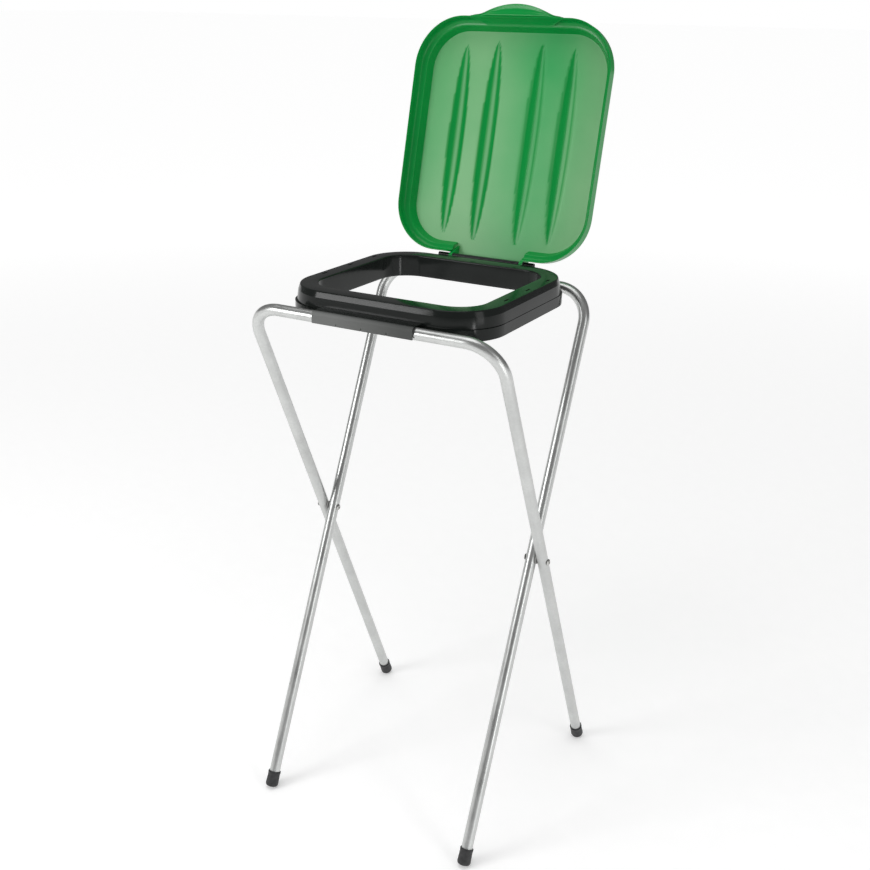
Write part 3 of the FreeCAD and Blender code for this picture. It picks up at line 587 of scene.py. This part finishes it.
class BAGSTAND_OT_leg_frames(bpy.types.Operator):
    """Makes the two bent tube frames"""

    bl_idname = "bagstand.leg_frames"
    bl_label = "Leg frames"

    def execute(self, context):
        tubes = context.scene.bag_tubes
        material = zinc_plate(tubes.zinc)
        tree, names = tube_tree(material)
        plan = (("leg_tube_rear", "rear_leg_frame", "rear_frame", tubes.inner_half, 1),
                ("leg_tube_front", "front_leg_frame", "front_frame", tubes.outer_half, -1))
        for name, node, body, half, side in plan:
            mesh = bpy.data.meshes.new(name)
            mesh.from_pydata(tube_path(tubes, half, side), [(0, 1), (1, 2), (2, 3)], [])
            piece = bpy.data.objects.new(name, mesh)
            context.scene.collection.objects.link(piece)
            run_tree(piece, tree, names, {"Bend Radius": tubes.bend, "Tube Radius": tubes.diameter / 2})
            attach(piece, body)
            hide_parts(node)
        return {"FINISHED"}


# Feet

def foot_profile(tubes):
    """Half section of a foot: rounded tread, slight waist, rolled rim and the mouth round the tube."""
    r = tubes.foot_diameter / 2
    h = tubes.foot_length
    tube = tubes.diameter / 2
    outer = [(0, 0.0012), (r * 0.42, 0.0012), (r * 0.5, 0), (r, 0), (r - 0.0007, h - 0.0052),
             (r - 0.0002, h - 0.0034), (r - 0.0002, h), (tube + 0.0001, h), (tube + 0.0001, h - 0.004)]
    radii = [0, 0.0006, 0.0006, 0.0048, 0.0008, 0.0008, 0.0009, 0.0006, 0]
    return [(p.x, p.y) for p in rounded(outer, radii, 6)]


class BAGSTAND_OT_feet(bpy.types.Operator):
    """Makes the four rubber feet"""

    bl_idname = "bagstand.feet"
    bl_label = "Rubber feet"

    def execute(self, context):
        tubes = context.scene.bag_tubes
        material = foot_rubber()
        lean = leg_lean(tubes)
        rise = foot_rise(tubes)
        for name, half, side, body in (
                ("foot_front_left", -tubes.inner_half, -1, "rear_frame"),
                ("foot_front_right", tubes.inner_half, -1, "rear_frame"),
                ("foot_rear_left", -tubes.outer_half, 1, "front_frame"),
                ("foot_rear_right", tubes.outer_half, 1, "front_frame")):
            spot = Vector((half, side * (tubes.foot_reach - rise * math.sin(lean)), rise * math.cos(lean)))
            place = Matrix.Translation(spot) @ Matrix.Rotation(side * lean, 4, "X")
            bm = bmesh.new()
            lathe(bm, foot_profile(tubes), 48, place)
            piece = new_piece("rubber_" + name, bm, material)
            sharpen(piece, 50)
            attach(piece, body)
            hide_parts(name)
        return {"FINISHED"}


# Pivots

class BAGSTAND_OT_pivots(bpy.types.Operator):
    """Makes the pivot rivets and finishes the spacers between the frames"""

    bl_idname = "bagstand.pivots"
    bl_label = "Pivots"

    def execute(self, context):
        tubes = context.scene.bag_tubes
        steel = rivet_steel()
        radius = tubes.diameter / 2
        pivot_z = tubes.bar_height * tubes.foot_reach / (tubes.bar_reach + tubes.foot_reach)
        for name, side in (("left", -1), ("right", 1)):
            inner = tubes.inner_half - radius
            outer = tubes.outer_half + radius + 0.0003
            head = [(0.0, 0.0010), (0.0013, 0.0010), (0.0017, 0.0021), (0.0026, 0.0024), (0.0040, 0.0019),
                    (0.0051, 0.0009), (0.0055, 0.0), (0.0030, 0.0)]
            profile = [(r, inner - h) for r, h in head] + [(r, outer + h) for r, h in reversed(head)]
            turn = Matrix.Rotation(math.radians(90), 4, "Y")
            if side < 0:
                turn = Matrix.Rotation(math.radians(180), 4, "Z") @ turn
            bm = bmesh.new()
            lathe(bm, profile, 32, Matrix.Translation((0, 0, pivot_z)) @ turn)
            piece = new_piece("rivet_" + name, bm, steel)
            sharpen(piece, 45)
            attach(piece, "rear_frame")
            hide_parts("pivot_rivet_" + name)
        washer = spacer_nylon()
        for name in ("pivot_spacer_left", "pivot_spacer_right"):
            paint(NODES[name], washer)
        return {"FINISHED"}


def paint(piece, material):
    """Gives every material slot of a CAD node the same finish."""
    if not piece.material_slots:
        piece.data.materials.append(material)
    for place in piece.material_slots:
        place.material = material


# Ring

def clamp_section(wall):
    """Closed section of the clamp ring as (spread from the crown outline, height under the top)."""
    points = [(0.0052, -0.025), (0.0030, -0.009), (0.0, 0.0), (-RIM_WIDTH, 0.0), (-RIM_WIDTH, -RING_DEPTH),
              (-RIM_WIDTH + wall, -RING_DEPTH), (-RIM_WIDTH + wall, -wall), (-0.0016, -wall),
              (0.0030 - wall, -0.009), (0.0052 - wall, -0.025)]
    radii = [0.0006, 0.003, 0.0024, 0.0020, 0.0006, 0.0006, 0.0008, 0.0008, 0.0010, 0.0006]
    return rounded(points, radii, 6, closed=True)


def ring_row(bm, ring, spread, z):
    """One loop of the clamp ring; it follows the crown outside and the mouth inside."""
    x, y, r = ring.crown
    if spread < -RIM_WIDTH / 2:
        x, y, r = ring.mouth
        spread += RIM_WIDTH
    pts = round_outline(x + spread, y + spread, r + spread, 20, 10)
    return [bm.verts.new((p.x, p.y, z)) for p in pts]


def slot_tree(material):
    """Cuts the two rows of latch slots through the top of the clamp ring."""
    tree, given, out, names = tree_with("latch_slots", {
        "Slot Width": 0.0032, "Slot Length": 0.013, "Slot Depth": 0.012, "Row Place": 0.1565,
        "Row Middle": 0.013, "Slot Spacing": 0.071, "Slots In A Row": 3, "Top": 0.882})
    sizes = given.outputs
    size = wire(tree, "ShaderNodeCombineXYZ",
                {"X": sizes["Slot Width"], "Y": sizes["Slot Length"], "Z": sizes["Slot Depth"]})
    cutter = wire(tree, "GeometryNodeMeshCube", {"Size": size.outputs["Vector"]})
    first = join(tree, "SUBTRACT", sizes["Row Middle"], sizes["Slot Spacing"])
    step = wire(tree, "ShaderNodeCombineXYZ", {"Y": sizes["Slot Spacing"]})
    rows = add(tree, "GeometryNodeJoinGeometry")
    for sign in (-1.0, 1.0):
        across = wire(tree, "ShaderNodeMath", {0: sizes["Row Place"]}, operation="MULTIPLY")
        across.inputs[1].default_value = sign
        start = wire(tree, "ShaderNodeCombineXYZ",
                     {"X": across.outputs["Value"], "Y": first, "Z": sizes["Top"]})
        line = wire(tree, "GeometryNodeMeshLine",
                    {"Count": sizes["Slots In A Row"], "Start Location": start.outputs["Vector"],
                     "Offset": step.outputs["Vector"]})
        tree.links.new(line.outputs["Mesh"], rows.inputs["Geometry"])
    stamp = wire(tree, "GeometryNodeInstanceOnPoints",
                 {"Points": rows.outputs["Geometry"], "Instance": cutter.outputs["Mesh"]})
    real = wire(tree, "GeometryNodeRealizeInstances", {"Geometry": stamp.outputs["Instances"]})
    cut = wire(tree, "GeometryNodeMeshBoolean",
               {"Mesh 1": sizes["Geometry"], "Mesh 2": real.outputs["Geometry"]}, operation="DIFFERENCE")
    finish_tree(tree, cut.outputs["Mesh"], out, material)
    return tree, names


class BAGSTAND_OT_ring(bpy.types.Operator):
    """Makes the clamp ring and finishes the base ring under it"""

    bl_idname = "bagstand.ring"
    bl_label = "Ring mouldings"

    def execute(self, context):
        ring = context.scene.bag_ring
        material = black_moulding(ring.black)
        paint(NODES["base_ring"], material)
        bm = bmesh.new()
        rows = [ring_row(bm, ring, p.x, ring.top + p.y) for p in clamp_section(ring.wall)]
        bridge(bm, rows)
        bmesh.ops.recalc_face_normals(bm, faces=bm.faces)
        piece = new_piece("clamp_frame", bm, material)
        tree, names = slot_tree(material)
        run_tree(piece, tree, names, {
            "Slot Width": ring.slot[0], "Slot Length": ring.slot[1], "Slot Spacing": ring.slot[2],
            "Top": ring.top})
        sharpen(piece, 40)
        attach(piece, "ring")
        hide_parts("clamp_ring")
        return {"FINISHED"}


# Lid

# How satin a rib is from its left edge (-1) to its right edge (1); the rest is polished. These levels are
# painted light and shade
# on the ribs: satin parts take the paler panel colour, polished parts the darker border green. The levels
# are fitted to the photograph's light, so the left and right ribs differ though the real ones needn't.
RIB_PAINTED_LIGHT_LEFT = ((-1.0, 0.4), (-0.85, 0.0), (-0.4, 0.0), (-0.2, 0.35), (0.05, 0.75), (0.25, 0.55),
              (0.42, 0.05), (0.88, 0.0), (1.0, 0.4))
RIB_PAINTED_LIGHT_RIGHT = ((-1.0, 0.4), (-0.9, 0.5), (-0.8, 0.4), (-0.66, 0.0), (0.12, 0.0), (0.25, 0.9), (0.5, 1.0),
               (0.65, 0.3), (0.75, 0.4), (0.88, 0.9), (1.0, 1.0))


def table(points, x):
    """Straight-line reading of a table of pairs."""
    for (x0, y0), (x1, y1) in zip(points, points[1:]):
        if x <= x1:
            return y0 + (y1 - y0) * (x - x0) / (x1 - x0)
    return points[-1][1]


def rib_at(lid, u, v):
    """Height of the ribs over the panel and how satin the skin is, at one point of the closed lid; on the
    ribs the satin level is painted light and shade.
    """
    w = lid.rib_width / 2
    h = lid.rib_height
    big = (w * w + h * h) / (2 * h)
    axis = big - h
    best = -1.0
    satin = 1.0
    for x, half in zip(lid.rib_places, RIB_HALVES):
        for side, levels in ((-1, RIB_PAINTED_LIGHT_LEFT), (1, RIB_PAINTED_LIGHT_RIGHT)):
            du = u - side * x
            dv = -v - RIB_MIDDLE
            if abs(du) > 2 * w or abs(dv) > half * 1.08:
                continue
            sweep = (half * half + h * h) / (2 * h)
            r = axis + math.sqrt(sweep * sweep - dv * dv) - sweep + h
            inside = r * r - du * du
            best = max(best, (math.sqrt(inside) if inside > 0 else 0.0) - axis)
            if r > axis:
                place = du / math.sqrt(r * r - axis * axis)
                if abs(place) < 1.0:
                    satin = table(levels, place)
    soft = 0.0005
    return 0.5 * (best + math.sqrt(best * best + soft * soft)), satin


def lid_section(lid):
    """Outer section of the lid from its rim to the panel, as (inset, height), and the border's first row."""
    t = lid.wall
    rim, seat, panel = LID_RIM, LID_SEAT + t, LID_PANEL + t
    points = [(0, rim), (0, seat), (0.0124 - t, seat), (0.0181 - t, panel), (0.0235, panel)]
    low = [Vector((0, rim + (seat - 0.004 - rim) * k / 5)) for k in range(5)]
    curved = rounded(points, [0, 0.004, 0.0011, 0.0032, 0], 7)[1:]
    return low + curved, len(low)


def lid_stations(lid):
    """Station points round the lid for an inset: the rear side has stations at the tongue's walls."""
    half, wall = TONGUE_HALF, lid.wall
    corner = lid.half - lid.radii[1]
    step = (corner - half - wall) / 4
    left = [-corner + step * k for k in (1, 2, 3)] + [-half - wall, -half - wall + 0.0005]
    return left + [-half + 2 * half * k / 16 for k in range(17)] + [-u for u in reversed(left)]


def lid_row(lid, inset, rear):
    """Points of one loop, starting on the front side, with the rear side's stations as given."""
    half = lid.half - inset
    back = -lid.back - inset
    front = -lid.back - lid.length + inset
    r0 = lid.radii[0] - inset
    r1 = lid.radii[1] - inset
    pts = []

    def arc(cx, cy, r, start, steps=22):
        for k in range(steps + 1):
            a = math.radians(start + 90.0 * k / steps)
            pts.append((Vector((cx + r * math.cos(a), cy + r * math.sin(a))), False))

    def run(x0, y0, x1, y1, steps=14):
        for k in range(1, steps):
            pts.append((Vector((x0 + (x1 - x0) * k / steps, y0 + (y1 - y0) * k / steps)), False))

    arc(half - r0, front + r0, r0, -90)
    run(half, front + r0, half, back - r1)
    arc(half - r1, back - r1, r1, 0)
    pts += [(Vector((u, back)), abs(u) < TONGUE_HALF + lid.wall - 0.0003) for u in reversed(rear)]
    arc(-half + r1, back - r1, r1, 90)
    run(-half, back - r1, -half, front + r0)
    arc(-half + r0, front + r0, r0, 180)
    run(-half + r0, front, half - r0, front)
    return pts


def lid_shell(lid):
    """The outer skin of the lid in its closed frame, one surface without thickness."""
    bm = bmesh.new()
    skin = bm.verts.layers.float.new("satin")
    section, border = lid_section(lid)
    panel = LID_PANEL + lid.wall
    rear = lid_stations(lid)
    rows = []
    for k, p in enumerate(section):
        row = []
        for q, tongue in lid_row(lid, p.x, rear):
            if tongue and k < border:
                row.append(None)
            else:
                y = -0.002 if tongue and k == border else q.y
                z = panel if tongue else p.y
                row.append(bm.verts.new((q.x, y, z)))
                row[-1][skin] = 1.0 if z > panel - 0.0007 else 0.0
        rows.append(row)
    for low, high in zip(rows, rows[1:]):
        n = len(low)
        for i in range(n):
            j = (i + 1) % n
            corners = [v for v in (low[i], low[j], high[j], high[i]) if v is not None]
            if len(corners) == 4:
                bm.faces.new(corners)
    fill_panel(bm, lid, rows[-1], section[-1].x, skin)
    bmesh.ops.remove_doubles(bm, verts=bm.verts, dist=1e-6)
    bmesh.ops.recalc_face_normals(bm, faces=bm.faces)
    if max(bm.faces, key=lambda f: f.calc_center_median().z).normal.z < 0:
        bmesh.ops.reverse_faces(bm, faces=bm.faces)
    return bm


def fill_panel(bm, lid, edge, inset, skin):
    """The panel inside the lid's last row, on an even net with the ribs' heights."""
    points = [v.co.to_2d() for v in edge]
    count = len(points)
    half = lid.half - inset
    front = -lid.back - lid.length + inset
    back = -lid.back - inset
    r0, r1 = lid.radii[0] - inset, lid.radii[1] - inset
    nu, nv = 148, 84
    for i in range(nu):
        for j in range(nv):
            u = -half + 2 * half * (i + 0.5) / nu
            v = front + (back - front) * (j + 0.5) / nv
            r = r0 if v < front + r0 else r1
            cx = max(0.0, abs(u) - (half - r))
            cy = (front + r0 - v) if v < front + r0 else max(0.0, v - (back - r1))
            if cx > 0 and cy > 0 and math.hypot(cx, cy) > r - 0.0012:
                continue
            if abs(u) > half - 0.0008 or v < front + 0.0012 or v > back - 0.0012:
                continue
            points.append(Vector((u, v)))
    loop = [(i, (i + 1) % count) for i in range(count)]
    verts, _, faces, origin, _, _ = delaunay_2d_cdt(points, loop, [], 1, 1e-6)
    made = []
    for p, source in zip(verts, origin):
        old = [s for s in source if s < count]
        if old:
            made.append(edge[old[0]])
        else:
            rise, satin = rib_at(lid, p.x, p.y)
            made.append(bm.verts.new((p.x, p.y, LID_PANEL + lid.wall + rise)))
            made[-1][skin] = satin
    for face in faces:
        corners = [made[i] for i in face]
        if len(set(corners)) == 3:
            bm.faces.new(corners)


def ease(t):
    """Smooth step from 0 to 1."""
    t = min(1.0, max(0.0, t))
    return t * t * (3 - 2 * t)


def lid_tab(lid):
    """The thumb tab: a soft lip that flows out of the border; its seen side, without thickness."""
    bm = bmesh.new()
    reach, half, fair = 0.020, 0.0655, 0.004
    radius = (half * half + reach * reach) / (2 * reach)
    front = -lid.back - lid.length
    rim = LID_RIM
    rows = []
    across, ramp, deep = 56, 14, 8
    wide = half + 0.016
    for i in range(across + 1):
        u = -wide + 2 * wide * i / across
        arc = reach - radius + math.sqrt(radius * radius - u * u)
        out = 0.49 * (arc + math.sqrt(arc * arc + fair * fair))
        share = ease((wide - abs(u)) / 0.028)
        row = []
        for j in range(ramp + 1):
            t = j / ramp
            inset = 0.0026 + 0.0079 * share
            y = front + inset + (-min(0.003, 0.4 * out) - inset) * t
            row.append(bm.verts.new((u, y, rim + (0.0035 + 0.0144 * share) * (1 - ease(t)))))
        start = row[-1].co.y
        for j in range(1, deep + 1):
            t = j / deep
            y = start + (front - out - start) * t
            row.append(bm.verts.new((u, y, rim + 0.0012 * share * math.sin(math.pi * t) ** 2)))
        rows.append(row)
    for a, b in zip(rows, rows[1:]):
        for j in range(ramp + deep):
            bm.faces.new((a[j], a[j + 1], b[j + 1], b[j]))
    bmesh.ops.recalc_face_normals(bm, faces=bm.faces)
    if sum(f.normal.z for f in bm.faces) > 0:
        bmesh.ops.reverse_faces(bm, faces=bm.faces)
    return bm


def plan_inset(lid, u, v):
    """Distance of a point inside the lid's outline, and the direction to the outline."""
    front, back = -lid.back - lid.length, -lid.back
    near = v < front + lid.radii[0]
    r = lid.radii[0] if near else lid.radii[1]
    cx = abs(u) - (lid.half - r)
    cy = front + r - v if near else v - (back - r)
    sx = 1.0 if u > 0 else -1.0
    sy = -1.0 if near else 1.0
    if cx > 0 and cy > 0:
        d = math.hypot(cx, cy)
        return r - d, Vector((sx * cx / d, sy * cy / d, 0))
    dx = lid.half - abs(u)
    dy = v - front if near else back - v
    return (dx, Vector((sx, 0, 0))) if dx < dy else (dy, Vector((0, sy, 0)))


def cove_inside(bm, lid):
    """Rounds the inner corner between the skirt and the border to a smooth cove."""
    radius, seat = 0.0075, LID_SEAT
    for vert in bm.verts:
        if vert.co.z > seat + 0.0002:
            continue
        inset, out = plan_inset(lid, vert.co.x, vert.co.y)
        a = inset - lid.wall
        b = seat - vert.co.z
        if a < -0.0003 or a > radius or b > radius:
            continue
        far = math.hypot(a - radius, b - radius)
        if far > radius:
            new_a = radius + (a - radius) * radius / far
            vert.co -= out * (new_a - a)
            vert.co.z = seat - radius - (b - radius) * radius / far


def heel_place(lid):
    """Centre of the stop heel in the closed frame, so that it meets the rear sleeve when the lid is open."""
    sleeve, gap = 0.0113, 0.0003
    reach = sleeve + HEEL_RADIUS + gap
    sleeve_y, sleeve_z, z = -0.0018, -0.0273, -0.0135
    y = sleeve_y + math.sqrt(reach ** 2 - (z - sleeve_z) ** 2)
    a = lid.opening
    return y * math.cos(a) - z * math.sin(a), y * math.sin(a) + z * math.cos(a)


def arm_outline(lid):
    """Side view of a hinge arm: round the hinge axis, out to the stop heel and up to the tongue."""
    top = 0.021
    r = 0.0044
    hy, hz = heel_place(lid)
    hr = HEEL_RADIUS
    along = math.atan2(hz, hy)
    tilt = math.acos((r - hr) / math.hypot(hy, hz))
    lo, hi = along - tilt, along + tilt
    back = -lid.back
    front = back - 0.012
    left = math.atan2(top, front) + math.acos(r / math.hypot(front, top))
    pts = []
    stop = lo + 2 * math.pi
    for k in range(25):
        a = left + (stop - left) * k / 24
        pts.append((r * math.cos(a), r * math.sin(a)))
    for k in range(13):
        a = lo + (hi - lo) * k / 12
        pts.append((hy + hr * math.cos(a), hz + hr * math.sin(a)))
    return pts + [(back, top), (front, top)]


def merge_into(target, source):
    """Adds one bmesh to another."""
    mesh = bpy.data.meshes.new("part")
    source.to_mesh(mesh)
    source.free()
    target.from_mesh(mesh)
    bpy.data.meshes.remove(mesh)


def thicken(bm, thickness, name, thin_under=-1.0):
    """Gives a one-surface bmesh a wall on its inner side, thinner at its rim, and returns it as a bmesh."""
    piece = new_piece(name, bm, None)
    full = piece.vertex_groups.new(name="full")
    for vert in piece.data.vertices:
        full.add([vert.index], 0.0 if vert.co.z < thin_under else 1.0, "REPLACE")
    mod = piece.modifiers.new("wall", "SOLIDIFY")
    mod.vertex_group = "full"
    mod.thickness_vertex_group = 0.45
    mod.thickness = thickness
    mod.offset = -1.0
    mod.use_even_offset = True
    mod.use_quality_normals = True
    apply_modifiers(piece)
    out = bmesh.new()
    out.from_mesh(piece.data)
    mesh = piece.data
    bpy.data.objects.remove(piece)
    bpy.data.meshes.remove(mesh)
    return out


class BAGSTAND_OT_lid(bpy.types.Operator):
    """Makes the ribbed lid with its tab, hinge arms and stub pins"""

    bl_idname = "bagstand.lid"
    bl_label = "Lid"

    def execute(self, context):
        lid = context.scene.bag_lid
        material = green_moulding(lid)
        bm = thicken(lid_shell(lid), lid.wall, "lid_skin", -0.0125)
        cove_inside(bm, lid)
        merge_into(bm, thicken(lid_tab(lid), lid.wall, "tab_skin"))
        half, wall, arm = TONGUE_HALF, lid.wall, ARM_WIDTH
        arms = bmesh.new()
        outline = arm_outline(lid)
        plate(arms, outline, -half - wall, -half + arm)
        plate(arms, outline, half - arm, half + wall)
        reach = arm + wall + 2 * PIN_REACH
        corners = [(0, 0), (PIN_RADIUS, 0), (PIN_RADIUS, reach), (0, reach)]
        pin = [(p.x, p.y) for p in rounded(corners, [0, 0.0006, 0.0006, 0], 4)]
        for side in (-1, 1):
            start = Matrix.Translation((side * (half + wall + PIN_REACH), 0, 0))
            lathe(arms, pin, 32, start @ Matrix.Rotation(math.radians(-90 * side), 4, "Y"))
        bmesh.ops.recalc_face_normals(arms, faces=arms.faces)
        merge_into(bm, arms)
        place = Matrix.Translation(lid.hinge) @ Matrix.Rotation(-lid.opening, 4, "X")
        bm.transform(place)
        piece = new_piece("lid_tray", bm, material)
        sharpen(piece, 38)
        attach(piece, "lid")
        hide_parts("lid")
        return {"FINISHED"}


# Stage

def soft_light(name, spot, target, width, height, power):
    """One rectangular soft light turned to a point."""
    data = bpy.data.lights.new(name, "AREA")
    data.shape = "RECTANGLE"
    data.size = width
    data.size_y = height
    data.energy = power
    lamp = bpy.data.objects.new(name, data)
    bpy.context.scene.collection.objects.link(lamp)
    lamp.visible_camera = False
    lamp.location = spot
    lamp.rotation_euler = (Vector(target) - Vector(spot)).to_track_quat("-Z", "Y").to_euler()


def white_world(stage):
    """All-round light: white for the camera; gloss sees a dim room there, not the white background."""
    world = bpy.data.worlds.new("studio")
    bpy.context.scene.world = world
    world.use_nodes = True
    tree = world.node_tree
    background = tree.nodes["Background"]
    background.inputs["Color"].default_value = (1, 1, 1, 1)
    light = add(tree, "ShaderNodeLightPath")
    room = remap(tree, light.outputs["Is Glossy Ray"], stage.sky, stage.room, 0.0, 1.0)
    tree.links.new(join(tree, "MAXIMUM", seen_rays(tree, light), room), background.inputs["Strength"])


def photo_camera(stage):
    """The camera at the photograph's viewing angle."""
    data = bpy.data.cameras.new("camera")
    data.lens = stage.lens
    data.sensor_width = 36.0
    camera = bpy.data.objects.new("camera", data)
    bpy.context.scene.collection.objects.link(camera)
    sy, cy = math.sin(stage.yaw), math.cos(stage.yaw)
    sp, cp = math.sin(stage.pitch), math.cos(stage.pitch)
    ahead = Vector((-sy * cp, cy * cp, -sp))
    right = Vector((cy, sy, 0))
    up = right.cross(ahead)
    c, s = math.cos(stage.roll), math.sin(stage.roll)
    across = c * right + s * up
    above = -s * right + c * up
    turn = Matrix((across, above, -ahead)).transposed()
    camera.matrix_world = Matrix.Translation(stage.eye) @ turn.to_4x4()
    data.clip_end = 100.0
    bpy.context.scene.camera = camera


class BAGSTAND_OT_stage(bpy.types.Operator):
    """Makes the floor, the light and the camera"""

    bl_idname = "bagstand.stage"
    bl_label = "Stage"

    def execute(self, context):
        stage = context.scene.bag_stage
        bm = bmesh.new()
        bmesh.ops.create_grid(bm, x_segments=2, y_segments=2, size=60.0)
        floor = new_piece("floor", bm, studio_paper())
        white_world(stage)
        soft_light("key_light", (-1.3, -1.8, 1.35), (0, 0, 0.9), 0.8, 0.8, stage.key)
        soft_light("fill_light", (2.4, -0.6, 1.4), (0, 0, 0.8), 0.7, 1.6, stage.fill)
        soft_light("top_light", (-0.4, -0.3, 3.4), (0, 0, 0.0), 2.0, 2.0, stage.top)
        soft_light("strip_light", (1.67, -0.91, 0.4), (0, 0, 0.8), 0.15, 0.7, stage.strip)
        photo_camera(stage)
        context.scene.view_settings.view_transform = "Standard"
        return {"FINISHED"}


class BAGSTAND_PT_sidebar(bpy.types.Panel):
    """Lists the steps that dress the stand"""

    bl_idname = "BAGSTAND_PT_sidebar"
    bl_label = "Bag stand"
    bl_space_type = "VIEW_3D"
    bl_region_type = "UI"
    bl_category = "Bag Stand"

    def draw(self, context):
        layout = self.layout
        for step in STEPS:
            layout.operator(step.bl_idname)


STEPS = (BAGSTAND_OT_leg_frames, BAGSTAND_OT_feet, BAGSTAND_OT_pivots, BAGSTAND_OT_ring,
         BAGSTAND_OT_lid, BAGSTAND_OT_stage)
GROUPS = (("bag_tubes", TubeSettings), ("bag_ring", RingSettings), ("bag_lid", LidSettings),
          ("bag_stage", StageSettings))


def register():
    for name, group in GROUPS:
        bpy.utils.register_class(group)
        setattr(bpy.types.Scene, name, bpy.props.PointerProperty(type=group))
    for step in STEPS:
        bpy.utils.register_class(step)
    bpy.utils.register_class(BAGSTAND_PT_sidebar)


def unregister():
    bpy.utils.unregister_class(BAGSTAND_PT_sidebar)
    for step in reversed(STEPS):
        bpy.utils.unregister_class(step)
    for name, group in reversed(GROUPS):
        delattr(bpy.types.Scene, name)
        bpy.utils.unregister_class(group)


def main():
    register()
    bpy.ops.bagstand.leg_frames()
    bpy.ops.bagstand.feet()
    bpy.ops.bagstand.pivots()
    bpy.ops.bagstand.ring()
    bpy.ops.bagstand.lid()
    bpy.ops.bagstand.stage()


if __name__ == "__main__":
    main()
